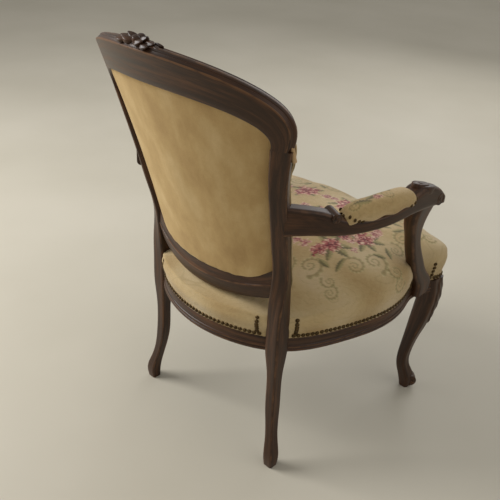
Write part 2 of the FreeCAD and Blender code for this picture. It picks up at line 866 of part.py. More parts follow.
def build():
    parts = {}
    pair = {}

    post = back_post()
    leg = above_show_wood(front_leg())
    crest = crest_rail().fuse(crest_carving())
    lower = back_lower_rail()
    left_arm = arm().cut(post)
    support = arm_support().cut(left_arm)
    posts = [post, mirrored(post)]
    legs = [leg, mirrored(leg)]
    arms = [left_arm, mirrored(left_arm)]
    supports = [support, mirrored(support)]
    lower = lower.cut(posts)

    # seat rails between the posts and legs
    post_face = post_side / 2
    knee_face = knee_side / 2
    rear_box = box_between(post_face - post_x, post_x - post_face, 0, far, 0, far)
    front_box = box_between(knee_face - knee_x, knee_x - knee_face, -far, 0, 0, far)
    side_box = box_between(post_x - post_face, far, knee_y + knee_face, post_y - post_face, 0, far)
    rear = one(seat_rail(rear_box).cut(posts))
    front = one(seat_rail(front_box).cut(legs))
    side = one(seat_rail(side_box).cut([post, leg, support]))

    half_dowels = left_dowels()
    dowels = half_dowels + [mirrored(d) for d in half_dowels]
    post_block = corner_block(post_x - post_face, post_y - post_face, 1)
    leg_block = corner_block(knee_x - knee_face, knee_y + knee_face, -1)
    half_blocks = [one(post_block.cut(posts)), one(leg_block.cut(legs))]
    half_screws = block_screws(post_x - post_face, post_y - post_face, 1)
    half_screws += block_screws(knee_x - knee_face, knee_y + knee_face, -1)
    half_support_screws = support_screws()
    blocks = half_blocks + [mirrored(b) for b in half_blocks]
    screws = half_screws + [mirrored(b) for b in half_screws]
    foot_screws = half_support_screws + [mirrored(b) for b in half_support_screws]
    pins = dowels + screws + foot_screws

    wood = {
        "rear_post_left": post,
        "front_leg_left": leg,
        "side_seat_rail_left": side,
        "arm_left": left_arm,
        "arm_support_left": support,
    }
    for name, shape in wood.items():
        pair[name] = one(shape.cut(half_dowels + half_screws + half_support_screws))
    for name, shape in (("crest_rail", crest), ("back_lower_rail", lower),
                        ("rear_seat_rail", rear), ("front_seat_rail", front)):
        parts[name] = one(shape.cut(pins))
    parts["corner_blocks"] = [b.cut(pins) for b in blocks]
    parts["corner_block_screws"] = screws
    parts["arm_support_screws"] = foot_screws
    parts["frame_dowels"] = dowels

    # seat, from the webbing up
    feet = posts + legs
    parts["seat_webbing_front_to_back"] = [one(s.cut(feet)) for s in webbing(False)]
    parts["seat_webbing_side_to_side"] = [one(s.cut(feet)) for s in webbing(True)]
    z = rail_bottom - 2 * webbing_thick - dust_cover_thick
    dust_cover = outline_prism(rail_thick / 4, z, z + dust_cover_thick)
    parts["dust_cover"] = one(dust_cover.cut(feet))
    springs = []
    for i in (-1, 0, 1):
        for j in (-1, 0, 1):
            y = seat_middle_y + j * 1.5 * webbing_pitch
            springs.append(spring(i * 1.5 * webbing_pitch, y, rail_bottom, rail_top))
    parts["seat_springs"] = springs
    obstacles = posts + supports
    inside = seat_body(cloth_thick)
    cover = seat_body(0).cut(inside)
    hessian_inset = cloth_set_back + cloth_thick + 3
    hessian = outline_prism(hessian_inset, rail_top, rail_top + hessian_thick)
    parts["seat_hessian"] = one(hessian.cut(obstacles))
    over = box_between(-far, far, -far, far, rail_top + hessian_thick, far)
    parts["seat_stuffing"] = one(inside.common(over).cut(obstacles))
    parts["seat_cover"] = one(cover.cut(obstacles))

    # back, the cloth outside and the pad inside
    frame = posts + [crest, lower]
    cloth = back_slab(panel_depth, panel_depth + panel_thick)
    cloth = cloth.common(back_prism(8, lower_rail_top - 14))
    parts["outside_back_panel"] = one(cloth.cut(frame))
    prism = back_prism(back_margin, lower_rail_foot + back_margin - 3)
    outer = back_prism(back_margin + cloth_thick, lower_rail_foot + back_margin - 3 - cloth_thick)
    hessian = back_slab(layer_3, layer_4).common(prism)
    front_of_hessian = back_slab(layer_4, far / 8)
    stuffing = behind_crown(layer_4).common(front_of_hessian).common(prism)
    whole = behind_crown(layer_4 + cloth_thick).common(back_slab(layer_1, far / 8)).common(outer)
    hollow = behind_crown(layer_4).common(prism)
    parts["back_webbing"] = [one(s.cut(arms)) for s in back_webbing()]
    parts["back_hessian"] = one(hessian.cut(arms))
    parts["back_stuffing"] = one(stuffing.cut(arms))
    parts["inside_back_cover"] = one(whole.cut(hollow).cut(arms + posts))

    # arm pads
    pad = pad_body(0).cut(left_arm)
    core = pad_body(cloth_thick).cut(left_arm)
    pair["arm_pad_stuffing_left"] = one(core)
    pair["arm_pad_cover_left"] = one(pad.cut(core))

    # nails
    rows = seat_nails()
    for name, nails in rows.items():
        parts["seat_nails_" + name] = nails
    gap = post_face + nail_radius + 1.5
    top = seat_edge - seat_dip / 2
    columns = nail_column(lambda z: (post_x - gap, rear_reach - 20), top)
    columns += nail_column(lambda z: (post_x + 30, post_y - gap), top)
    pair["post_nails_left"] = columns
    gap = support_foot_length / 2 + nail_radius + 2
    columns = nail_column(lambda z: (side_reach, support_y(z) - gap), top)
    columns += nail_column(lambda z: (side_reach, support_y(z) + gap + 2), top)
    pair["support_nails_left"] = columns
    parts["inside_back_nails"] = back_nails()
    pair["arm_pad_nails_left"] = arm_nails()

    for name, shape in pair.items():
        other = name.replace("_left", "_right")
        if isinstance(shape, list):
            parts[other] = [mirrored(s) for s in shape]
        else:
            parts[other] = mirrored(shape)
        parts[name] = shape
    return parts


def main():
    os.makedirs("parts", exist_ok=True)
    parts = build()
    shapes = {}
    for name, shape in parts.items():
        shapes[name] = Part.Compound(shape) if isinstance(shape, list) else shape
    whole = Part.Compound(list(shapes.values())).optimalBoundingBox()
    shift = Vector(-(whole.XMin + whole.XMax) / 2, -(whole.YMin + whole.YMax) / 2, -whole.ZMin)
    print("moved by", round(shift.x, 3), round(shift.y, 3), round(shift.z, 3))
    print("size", round(whole.XLength, 1), round(whole.YLength, 1), round(whole.ZLength, 1))
    for name, shape in shapes.items():
        shape.translate(shift)
        shape.exportStep("parts/" + name + ".step")


main()
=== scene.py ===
import math

import bmesh
import bpy
import numpy as np
from mathutils import Matrix, Vector


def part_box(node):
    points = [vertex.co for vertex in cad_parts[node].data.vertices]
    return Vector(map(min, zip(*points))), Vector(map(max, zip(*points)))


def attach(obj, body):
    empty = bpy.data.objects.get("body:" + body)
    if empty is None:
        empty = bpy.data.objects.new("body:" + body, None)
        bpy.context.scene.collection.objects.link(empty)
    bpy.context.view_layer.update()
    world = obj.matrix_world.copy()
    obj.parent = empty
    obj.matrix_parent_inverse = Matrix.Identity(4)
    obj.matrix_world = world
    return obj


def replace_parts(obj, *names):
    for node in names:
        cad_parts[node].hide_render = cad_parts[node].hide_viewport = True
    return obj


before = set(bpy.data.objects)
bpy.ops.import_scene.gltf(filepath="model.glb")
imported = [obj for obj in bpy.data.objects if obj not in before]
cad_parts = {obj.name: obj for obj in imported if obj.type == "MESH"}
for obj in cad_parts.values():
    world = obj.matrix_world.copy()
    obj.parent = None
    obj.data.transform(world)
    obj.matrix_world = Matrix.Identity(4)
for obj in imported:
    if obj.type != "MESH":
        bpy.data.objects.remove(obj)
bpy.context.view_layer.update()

# A fauteuil with a hollow back. Shapes are worked out in millimetres, in plan from a line under the
# seat, and toFrame puts them in metres in the chair's own frame. The sitter faces -Y.
mm = 0.001
frontReach = 325.0
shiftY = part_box("front_seat_rail")[0].y + frontReach * mm


def toFrame(points):
    # millimetres to metres, moved to the frame's place
    return np.asarray(points, float) * mm + np.array([0.0, shiftY, 0.0])


# camera, floor and light come first

view = {
    "place": (-0.983, 1.138, 1.233),     # before the shift, metres
    "yaw": 224.039,                      # degrees, turned from +Y
    "pitch": -29.6,
    "roll": 2.712,
    "focalPixels": 707.791,              # in a picture 500 pixels wide
    "sensor": 36.0,
}


def setCamera():
    # forward from yaw and pitch, right square to it and level, both then rolled about it
    yaw, pitch, roll = (math.radians(view[k]) for k in ("yaw", "pitch", "roll"))
    forward = np.array([-math.sin(yaw) * math.cos(pitch), math.cos(yaw) * math.cos(pitch),
                        math.sin(pitch)])
    right = np.cross(forward, [0, 0, 1])
    right /= np.linalg.norm(right)
    up = np.cross(right, forward)
    across = math.cos(roll) * right + math.sin(roll) * up
    upward = -math.sin(roll) * right + math.cos(roll) * up
    camera = bpy.data.objects.new("camera", bpy.data.cameras.new("camera"))
    camera.data.sensor_width = view["sensor"]
    camera.data.lens = view["sensor"] * view["focalPixels"] / 500
    x, y, z = view["place"]
    camera.matrix_world = Matrix.Translation((x, y + shiftY, z)) @ Matrix(
        [list(row) for row in np.stack([across, upward, -forward], 1)]).to_4x4()
    bpy.context.scene.collection.objects.link(camera)
    bpy.context.scene.camera = camera


setCamera()
bpy.context.scene.view_settings.view_transform = "Standard"
print("camera set")

studio = {
    "floor": "#cfc8b8", "floorSize": 14.0,
    "keyPlace": (2.3, 1.7, 2.1), "keySize": 1.7, "keyWatts": 88.0,
    "fillPlace": (-2.6, -0.6, 2.2), "fillSize": 2.6, "fillWatts": 12.0,
    "frontPlace": (0.6, -2.9, 2.0), "frontSize": 2.4, "frontWatts": 26.0,
    "sky": "#eceae4", "skyStrength": 0.44, "aim": 0.45,
}


def linearColour(code):
    # an sRGB hex value by its curve to linear light
    c = np.array([int(code[i:i + 2], 16) for i in (1, 3, 5)]) / 255
    c = np.where(c <= 0.04045, c / 12.92, ((c + 0.055) / 1.055) ** 2.4)
    return (*(float(v) for v in c), 1.0)


def addNode(tree, kind, settings=None, links=None):
    # one node; a setting is a property, or an input by its name or place; stops fill a ramp
    node = tree.nodes.new(kind)
    for key, value in (settings or {}).items():
        if key == "stops":
            elements = node.color_ramp.elements
            while len(elements) < len(value):
                elements.new(0.5)
            for element, (place, code) in zip(elements, value):
                element.position = place
                element.color = linearColour(code) if isinstance(code, str) else (*[code] * 3, 1)
        elif isinstance(key, str) and hasattr(node, key):
            setattr(node, key, value)
        else:
            node.inputs[key].default_value = value
    for key, source in (links or {}).items():
        tree.links.new(source, node.inputs[key])
    return node


def newMaterial(name):
    # a named material with an empty node tree to build in
    material = bpy.data.materials.new(name)
    material.use_nodes = True
    tree = material.node_tree
    tree.nodes.clear()
    return material, tree


def finishMaterial(tree, settings, links):
    # the shader, with what is the same all over on its own sockets, and the output
    shader = addNode(tree, "ShaderNodeBsdfPrincipled", settings, links)
    addNode(tree, "ShaderNodeOutputMaterial", None, {"Surface": shader.outputs[0]})


def areaLight(name, place, size, watts):
    # a square soft light turned to the middle of the chair
    lamp = bpy.data.lights.new(name, "AREA")
    lamp.size, lamp.energy = size, watts
    lampObject = bpy.data.objects.new(name, lamp)
    lampObject.location = place
    towards = Vector((0, 0, studio["aim"])) - Vector(place)
    lampObject.rotation_euler = towards.to_track_quat("-Z", "Y").to_euler()
    bpy.context.scene.collection.objects.link(lampObject)


def makeStudio():
    # a plain pale floor, a key light and two weaker ones, and a pale even sky
    s = studio["floorSize"] / 2
    mesh = bpy.data.meshes.new("floor")
    mesh.from_pydata([(-s, -s, 0), (s, -s, 0), (s, s, 0), (-s, s, 0)], [], [(0, 1, 2, 3)])
    floor = bpy.data.objects.new("floor", mesh)
    bpy.context.scene.collection.objects.link(floor)
    material, tree = newMaterial("painted floor")
    place = addNode(tree, "ShaderNodeTexCoord")
    cloud = addNode(tree, "ShaderNodeTexNoise", {"Scale": 1.3, "Detail": 5.0},
                    {"Vector": place.outputs["Object"]})
    tone = addNode(tree, "ShaderNodeValToRGB",
                   {"stops": [(0.3, "#c6bfae"), (0.7, studio["floor"])]},
                   {"Fac": cloud.outputs[0]})
    finishMaterial(tree, {"Roughness": 0.55}, {"Base Color": tone.outputs[0]})
    mesh.materials.append(material)
    for name in ("key", "fill", "front"):
        areaLight(name, studio[name + "Place"], studio[name + "Size"], studio[name + "Watts"])
    world = bpy.data.worlds.new("room")
    bpy.context.scene.world = world
    world.use_nodes = True
    sky = world.node_tree.nodes["Background"].inputs
    sky[0].default_value, sky[1].default_value = linearColour(studio["sky"]), studio["skyStrength"]


makeStudio()
print("floor and lights made")


# materials, each from what the real one is

def walnutStainedBeech():
    # beech stained dark and waxed: a satin lustre, fine streaks along the grain, rubbed paler
    # edges, and a painted highlight line where the crest's rear arris carries more wear
    material, tree = newMaterial("walnut stained beech")
    grain = {"length": 0.006, "width": 0.35, "pores": 1.1}      # repeats per mm along and across
    place = addNode(tree, "ShaderNodeUVMap", {"uv_map": "surface"})
    wide = addNode(tree, "ShaderNodeMapping",
                   {"Scale": (grain["length"], grain["width"] * 0.25, 1)},
                   {"Vector": place.outputs[0]})
    cloud = addNode(tree, "ShaderNodeTexNoise",
                    {"Scale": 1.0, "Detail": 4.0, "Roughness": 0.6, "Distortion": 0.6},
                    {"Vector": wide.outputs[0]})
    fine = addNode(tree, "ShaderNodeMapping", {"Scale": (grain["length"] * 6, grain["pores"], 1)},
                   {"Vector": place.outputs[0]})
    pores = addNode(tree, "ShaderNodeTexNoise", {"Scale": 1.0, "Detail": 3.0, "Roughness": 0.7},
                    {"Vector": fine.outputs[0]})
    stain = addNode(tree, "ShaderNodeValToRGB", {"stops": [
        (0.25, "#28190e"), (0.48, "#402817"), (0.62, "#573822"), (0.8, "#724c2e")]},
                    {"Fac": cloud.outputs[0]})
    streak = addNode(tree, "ShaderNodeValToRGB", {"stops": [(0.35, 0.45), (0.6, 1.0)]},
                     {"Fac": pores.outputs[0]})
    streaked = addNode(tree, "ShaderNodeMix",
                       {"data_type": "RGBA", "blend_type": "MULTIPLY", 0: 0.75},
                       {6: stain.outputs[0], 7: streak.outputs[0]})
    # paler where the wear attribute is high: rubbed edges, and on the crest's rear arris a painted
    # highlight
    worn = addNode(tree, "ShaderNodeAttribute", {"attribute_name": "wear"})
    rub = addNode(tree, "ShaderNodeTexNoise", {"Scale": 0.045, "Detail": 5.0},
                  {"Vector": place.outputs[0]})
    rubbed = addNode(tree, "ShaderNodeMath", {"operation": "MULTIPLY"},
                     {0: worn.outputs["Fac"], 1: rub.outputs[0]})
    share = addNode(tree, "ShaderNodeValToRGB", {"stops": [(0.34, 0.0), (0.66, 0.6)]},
                    {"Fac": rubbed.outputs[0]})
    colour = addNode(tree, "ShaderNodeMix", {"data_type": "RGBA", 7: linearColour("#7d5635")},
                     {0: share.outputs[0], 6: streaked.outputs[2]})
    gloss = addNode(tree, "ShaderNodeMapRange", {"To Min": 0.3, "To Max": 0.52},
                    {0: cloud.outputs[0]})
    bump = addNode(tree, "ShaderNodeBump", {"Strength": 0.25, "Distance": 0.0004},
                   {"Height": pores.outputs[0]})
    finishMaterial(tree, {"IOR": 1.45, "Specular IOR Level": 0.35, "Coat Weight": 0.12,
                          "Coat Roughness": 0.25},
                   {"Base Color": colour.outputs[2], "Roughness": gloss.outputs[0],
                    "Normal": bump.outputs[0]})
    return material


def wovenBump(tree, place, pitch, distance, strength=0.6):
    # warp and weft as crossed waves over the cloth's own map, a thread every pitch mm
    crossings = []
    for direction in ("X", "Y"):
        wave = addNode(tree, "ShaderNodeTexWave",
                       {"bands_direction": direction, "Scale": math.pi / (10 * pitch),
                        "Distortion": 0.6,
                        "Detail": 1.0, "Detail Scale": 1.5}, {"Vector": place})
        crossings.append(wave.outputs["Fac"])
    cross = addNode(tree, "ShaderNodeMath", {"operation": "MULTIPLY"},
                    {0: crossings[0], 1: crossings[1]})
    return cross, addNode(tree, "ShaderNodeBump", {"Strength": strength, "Distance": distance},
                          {"Height": cross.outputs[0]})


def wovenTapestry():
    # wool tapestry: the design is held by the piece, its stitches show as small raised knots
    material, tree = newMaterial("woven tapestry")
    stitch = 1.9        # mm, as on a real one of this fineness
    place = addNode(tree, "ShaderNodeUVMap", {"uv_map": "surface"})
    design = addNode(tree, "ShaderNodeAttribute", {"attribute_name": "design"})
    cross, bump = wovenBump(tree, place.outputs[0], stitch, 0.0006)
    thread = addNode(tree, "ShaderNodeTexNoise", {"Scale": 0.6, "Detail": 3.0},
                     {"Vector": place.outputs[0]})
    # painted light and shade of the weave: the colour is paler on the raised crossings and darker
    # in the hollows between stitches, over the bump
    lit = addNode(tree, "ShaderNodeMath", {"operation": "MULTIPLY_ADD", 1: 0.16, 2: 0.84},
                  {0: cross.outputs[0]})
    fuzz = addNode(tree, "ShaderNodeMath", {"operation": "MULTIPLY_ADD", 1: 0.24, 2: -0.12},
                   {0: thread.outputs[0]})
    level = addNode(tree, "ShaderNodeMath", {"operation": "ADD"},
                    {0: lit.outputs[0], 1: fuzz.outputs[0]})
    colour = addNode(tree, "ShaderNodeMix", {"data_type": "RGBA", "blend_type": "MULTIPLY", 0: 1.0},
                     {6: design.outputs["Color"], 7: level.outputs[0]})
    finishMaterial(tree, {"Roughness": 0.88, "Sheen Weight": 0.25, "Sheen Roughness": 0.5,
                          "Specular IOR Level": 0.25},
                   {"Base Color": colour.outputs[2], "Normal": bump.outputs[0]})
    return material


def cottonVelvet():
    # plain cotton velvet, worn: the nap lies in cloudy patches of some 60 mm that catch the light
    # differently; it is drawn at about 1 mm, coarser than the real one, so that it shows
    material, tree = newMaterial("cotton velvet")
    place = addNode(tree, "ShaderNodeTexCoord")
    tall = addNode(tree, "ShaderNodeMapping", {"Scale": (1.0, 1.0, 0.45)},
                   {"Vector": place.outputs["Object"]})
    patch = addNode(tree, "ShaderNodeTexNoise", {"Scale": 16.0, "Detail": 5.0, "Roughness": 0.6},
                    {"Vector": tall.outputs[0]})
    tone = addNode(tree, "ShaderNodeValToRGB", {"stops": [
        (0.28, "#a98a5c"), (0.5, "#bb9d6c"), (0.72, "#ccb182")]}, {"Fac": patch.outputs[0]})
    nap = addNode(tree, "ShaderNodeTexNoise", {"Scale": 900.0, "Detail": 2.0},
                  {"Vector": place.outputs["Object"]})
    speck = addNode(tree, "ShaderNodeMath", {"operation": "MULTIPLY_ADD", 1: 0.3, 2: 0.85},
                    {0: nap.outputs[0]})
    colour = addNode(tree, "ShaderNodeMix", {"data_type": "RGBA", "blend_type": "MULTIPLY", 0: 1.0},
                     {6: tone.outputs[0], 7: speck.outputs[0]})
    bump = addNode(tree, "ShaderNodeBump", {"Strength": 0.35, "Distance": 0.0006},
                   {"Height": nap.outputs[0]})
    finishMaterial(tree, {"Roughness": 0.9, "Sheen Weight": 0.45, "Sheen Roughness": 0.4,
                          "Specular IOR Level": 0.2,
                          "Sheen Tint": linearColour("#e6d2a6")},
                   {"Base Color": colour.outputs[2], "Normal": bump.outputs[0]})
    return material


def plainMaterial(name, dark, light, scale, roughness, metallic=0.0, stretch=(1, 1, 1),
                  bumpDistance=0.0003):
    # two tones clouded over each other, and the same clouds as relief; scale is clouds in a metre
    material, tree = newMaterial(name)
    place = addNode(tree, "ShaderNodeTexCoord")
    along = addNode(tree, "ShaderNodeMapping", {"Scale": stretch},
                    {"Vector": place.outputs["Object"]})
    cloud = addNode(tree, "ShaderNodeTexNoise", {"Scale": scale, "Detail": 5.0, "Roughness": 0.6},
                    {"Vector": along.outputs[0]})
    tone = addNode(tree, "ShaderNodeValToRGB", {"stops": [(0.3, dark), (0.7, light)]},
                   {"Fac": cloud.outputs[0]})
    rough = addNode(tree, "ShaderNodeMapRange",
                    {"To Min": roughness - 0.1, "To Max": roughness + 0.1},
                    {0: cloud.outputs[0]})
    bump = addNode(tree, "ShaderNodeBump", {"Strength": 0.4, "Distance": bumpDistance},
                   {"Height": cloud.outputs[0]})
    finishMaterial(tree, {"Metallic": metallic},
                   {"Base Color": tone.outputs[0], "Roughness": rough.outputs[0],
                    "Normal": bump.outputs[0]})
    return material


sides = ((1, "left"), (-1, "right"))     # the sitter's
wood = walnutStainedBeech()
tapestry = wovenTapestry()
velvet = cottonVelvet()
# cast brass nails, browned, in two tones clouded over each other; the rubbed crowns the nails carry
# are not read here
brass = plainMaterial("antique brass", "#2a2118", "#6d583a", 420.0, 0.38, metallic=1.0)
# black cotton cambric under the seat, matt and close woven
cambric = plainMaterial("cotton cambric", "#1d1b1a", "#2b2826", 350.0, 0.9)
print("materials made")


# shapes

def splineThrough(knots, values, at, closed=False):
    # smooth cubic through the values; the slopes are solved so that curvature runs on at each knot
    knots = np.asarray(knots, float)
    shape = np.shape(values)[1:]
    values = np.asarray(values, float).reshape(len(knots), -1)
    n, h = len(knots), np.diff(knots)
    d = np.diff(values, axis=0) / h[:, None]
    system, right = np.zeros((n, n)), np.zeros_like(values)
    for i in range(1, n - 1):
        system[i, i - 1:i + 2] = h[i], 2 * (h[i - 1] + h[i]), h[i - 1]
        right[i] = 3 * (h[i] * d[i - 1] + h[i - 1] * d[i])
    if closed:
        system[0, 0], system[0, 1], system[0, n - 2] = 2 * (h[-1] + h[0]), h[-1], h[0]
        right[0] = 3 * (h[0] * d[-1] + h[-1] * d[0])
        system[-1, 0], system[-1, -1] = 1, -1
    else:
        system[0, :2], system[-1, -2:] = (2, 1), (1, 2)
        right[0], right[-1] = 3 * d[0], 3 * d[-1]
    slopes = np.linalg.solve(system, right)
    at = np.asarray(at, float)
    k = np.clip(np.searchsorted(knots, at.ravel(), "right") - 1, 0, n - 2)
    t = ((at.ravel() - knots[k]) / h[k])[:, None]
    step = h[k][:, None]
    result = ((1 + 2 * t) * (1 - t) ** 2 * values[k] + t * (1 - t) ** 2 * step * slopes[k]
              + t ** 2 * (3 - 2 * t) * values[k + 1] + t ** 2 * (t - 1) * step * slopes[k + 1])
    return result.reshape(at.shape + shape)


def easeStep(value):
    # an S-curve from 0 to 1: the square of the value times three less twice the value
    value = np.clip(value, 0, 1)
    return value * value * (3 - 2 * value)


def chords(points):
    # distance travelled at each point of a row of points
    return np.concatenate([[0], np.cumsum(np.linalg.norm(np.diff(points, axis=0), axis=1))])


def unit(vectors):
    # each vector over its own length
    return vectors / np.maximum(np.linalg.norm(vectors, axis=-1, keepdims=True), 1e-9)


def travel(points):
    # direction of travel at each point of a row
    return unit(np.gradient(points, axis=0))


def makePiece(name, vertices, faces, material, uv=None, wear=None, design=None,
              outward=True,
              sharpAngle=38):
    # a mesh from points and faces, with its surface map in mm, its rubbed places (the crest arris's
    # painted highlight among them) and its design
    mesh = bpy.data.meshes.new(name)
    mesh.from_pydata(vertices, [], faces)
    if uv is not None:
        layer = mesh.uv_layers.new(name="surface")
        layer.data.foreach_set("uv", np.asarray(uv, np.float32).ravel())
    if wear is not None:
        layer = mesh.attributes.new("wear", "FLOAT", "POINT")
        layer.data.foreach_set("value", np.asarray(wear, np.float32))
    if design is not None:
        colours = np.concatenate([design, np.ones((len(design), 1))], 1).astype(np.float32)
        layer = mesh.color_attributes.new("design", "FLOAT_COLOR", "POINT")
        layer.data.foreach_set("color", colours.ravel())
    if outward:
        shell = bmesh.new()
        shell.from_mesh(mesh)
        bmesh.ops.recalc_face_normals(shell, faces=shell.faces)
        shell.to_mesh(mesh)
        shell.free()
    mesh.shade_smooth()
    mesh.set_sharp_from_angle(angle=math.radians(sharpAngle))
    mesh.materials.append(material)
    piece = bpy.data.objects.new(name, mesh)
    bpy.context.scene.collection.objects.link(piece)
    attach(piece, "root")
    return piece


def gridFaces(rows, cols, around):
    # quads of a grid whose rows are rings or strips, with their places in the unrolled grid
    i, j = np.meshgrid(np.arange(rows - 1), np.arange(cols if around else cols - 1), indexing="ij")
    i, j = i.ravel(), j.ravel()
    nextJ = (j + 1) % cols if around else j + 1
    here, above = i * cols, (i + 1) * cols
    faces = np.stack([here + j, here + nextJ, above + nextJ, above + j], 1)
    wide = cols + 1 if around else cols
    here, above = i * wide + j, (i + 1) * wide + j
    return faces, np.stack([here, here + 1, above + 1, above], 1)


def sweepPiece(name, path, across, up, a, b, wear, sharpAngle=38):
    # a closed ring carried along a path: path + across * a + up * b, its ends closed by flat caps
    across, up = np.broadcast_to(across, path.shape), np.broadcast_to(up, path.shape)
    points = path[:, None] + across[:, None] * a[..., None] + up[:, None] * b[..., None]
    return ringPiece(name, points, wear, sharpAngle=sharpAngle)


def ringPiece(name, points, wear=0.0, material=None, design=None,
              sharpAngle=38):
    # rings of points joined in a row, with a surface map of mm along and mm around
    rows, cols = points.shape[:2]
    faces, places = gridFaces(rows, cols, True)
    along = chords(points.mean(1))
    around = chords(np.concatenate([points[rows // 2], points[rows // 2][:1]]))
    uvGrid = np.stack(np.meshgrid(along, around, indexing="ij"), -1).reshape(-1, 2)
    flat = points.reshape(-1, 3)
    caps = [list(range(cols))[::-1], list(range((rows - 1) * cols, rows * cols))]
    capUv = [flat[cap][:, [0, 1]] for cap in caps]
    uv = np.concatenate([uvGrid[places].reshape(-1, 2)] + capUv)
    wear = np.broadcast_to(wear, (rows, cols)).ravel()
    colour = None if design is None else design(uvGrid.reshape(rows, cols + 1, 2)[:, :-1])
    return makePiece(name, toFrame(flat), faces.tolist() + caps, material or wood, uv,
                     wear, colour,
                     sharpAngle=sharpAngle)


def roundedRing(width, height, radius, cornerSteps=4, flatSteps=4):
    # rounded rectangles, one row per station: offsets across and up, and 1 in each corner's middle
    width, height, radius = (np.atleast_1d(v).astype(float)[:, None]
                             for v in (width, height, radius))
    turn = np.radians(np.linspace(0, 90, cornerSteps + 1))[None]
    rows = []
    for k, (sideA, sideB) in enumerate([(1, 1), (-1, 1), (-1, -1), (1, -1)]):
        angle = turn + k * math.pi / 2
        a = sideA * (width / 2 - radius) + radius * np.cos(angle)
        b = sideB * (height / 2 - radius) + radius * np.sin(angle)
        rows.append((a, b))
    flats = np.linspace(0, 1, flatSteps + 2)[1:-1][None]
    a, b, wear = [], [], []
    for k, (rowA, rowB) in enumerate(rows):
        nextA, nextB = rows[(k + 1) % 4]
        a += [rowA, rowA[:, -1:] + (nextA[:, :1] - rowA[:, -1:]) * flats]
        b += [rowB, rowB[:, -1:] + (nextB[:, :1] - rowB[:, -1:]) * flats]
        wear += [np.sin(2 * turn), np.zeros_like(flats)]
    return np.concatenate(a, 1), np.concatenate(b, 1), np.concatenate(wear, 1)


def ringWear(mould, value=1):
    # how far each point of a moulding's ring is rubbed, a larger value laying a painted highlight
    # line over the wear: the value on its arrises, nought elsewhere
    wear = np.zeros(len(mould["ring"]))
    wear[mould["worn"]] = value
    return wear


# the seat frame's plan, the same curve as the frame's

plan = {
    "rearReach": 290.0, "frontReach": frontReach, "sideReach": 290.0, "widestY": -25.0,
    "waist": 267.0,
    "postX": 190.0, "postY": 223.0, "kneeX": 262.0, "kneeY": -254.0, "postSide": 37.0,
    "kneeSide": 48.0,
    "railBottom": 300.0, "showTop": 335.0, "railTop": 375.0,
}
planMiddle = np.array([0, (plan["rearReach"] - plan["frontReach"]) / 2])


def outlineKnots():
    # points of one half from the front's middle to the rear's, mirrored, with the way between them
    p = plan
    bow, span = p["rearReach"] - p["postY"], p["sideReach"] - p["postX"]
    half = [(0, -p["frontReach"]), (0.5 * p["kneeX"], 5 - p["frontReach"]),
            (0.88 * p["kneeX"], p["kneeY"] - 45), (p["kneeX"] + 20, p["kneeY"] - 18),
            (p["waist"], p["kneeY"] + 68), (p["sideReach"] - 9, p["widestY"] - 92),
            (p["sideReach"], p["widestY"]),
            (p["postX"] + 0.75 * span, p["widestY"] + 0.45 * (p["postY"] - p["widestY"])),
            (p["postX"] + 14, p["postY"] - 13), (0.55 * p["postX"], p["rearReach"] - 0.27 * bow),
            (0, p["rearReach"])]
    points = np.array(half + [(-x, y) for x, y in half[-2:0:-1]] + half[:1], float)
    return chords(points), points


outlineAt, outlinePoints = outlineKnots()


def outline(share, inset=0.0, shrink=0.0):
    # the plan curve at shares of its length, shrunk to the middle and moved in square to itself
    share = np.asarray(share, float)
    total = outlineAt[-1]
    here, before, after = (
        splineThrough(outlineAt, outlinePoints, ((share + step) % 1) * total, closed=True)
        for step in (0, -1e-4, 1e-4))
    along = unit(after - before)
    inward = np.stack([-along[..., 1], along[..., 0]], -1)
    inset, shrink = np.asarray(inset)[..., None], np.asarray(shrink)[..., None]
    return planMiddle + (here - planMiddle) * (1 - shrink) + inward * inset, inward


shareTable = np.linspace(-0.5, 0.5, 4001)
planTable = outline(shareTable)[0]


def shareNear(x, y):
    # the share of the outline's length at its nearest point to a place
    return shareTable[np.argmin(np.hypot(planTable[:, 0] - x, planTable[:, 1] - y))]


# seat rails: a plain fascia over a double bead, and a recessed upper half behind the cloth

railMould = {
    # inset from the outline, height; from the underside of the outer face up and round
    "ring": [(6, 0.6), (2.5, 0), (0.6, 1), (-0.6, 3.2), (-0.6, 5.4), (0.8, 7.4), (1.6, 8.2),
             (0.4, 9.2), (-0.6, 11), (-0.6, 13.2), (0.6, 15.4), (1.8, 16.4), (1.6, 17.6), (1.0, 20),
             (1.0, 25), (1.2, 30), (2.2, 34), (3.4, 35), (5.6, 35.2), (5.8, 40), (5.8, 74), (7, 75),
             (33, 75), (34, 74), (34, 1), (33, 0)],
    "worn": [3, 4, 8, 9, 16, 17],
    "turnIn": 19.0, "turnFrom": 230.0, "turnOver": 24.0,
}


def seatRail(name, shares):
    # the moulding's section carried along the outline; next to a front leg it turns in to the knee
    ring = np.array(railMould["ring"])
    spots, inward = outline(shares)
    turnIn = easeStep((np.abs(spots[:, 0]) - railMould["turnFrom"]) / railMould["turnOver"])
    turnIn = turnIn * (spots[:, 1] < plan["kneeY"])
    spots = spots + inward * (railMould["turnIn"] * turnIn)[:, None]
    path = np.concatenate([spots, np.full((len(spots), 1), plan["railBottom"])], 1)
    across = np.concatenate([inward, np.zeros((len(spots), 1))], 1)
    piece = sweepPiece(name + "_moulded", path, across, np.array([0.0, 0, 1]), ring[:, 0],
                       ring[:, 1],
                       ringWear(railMould), 50)
    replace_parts(piece, name)


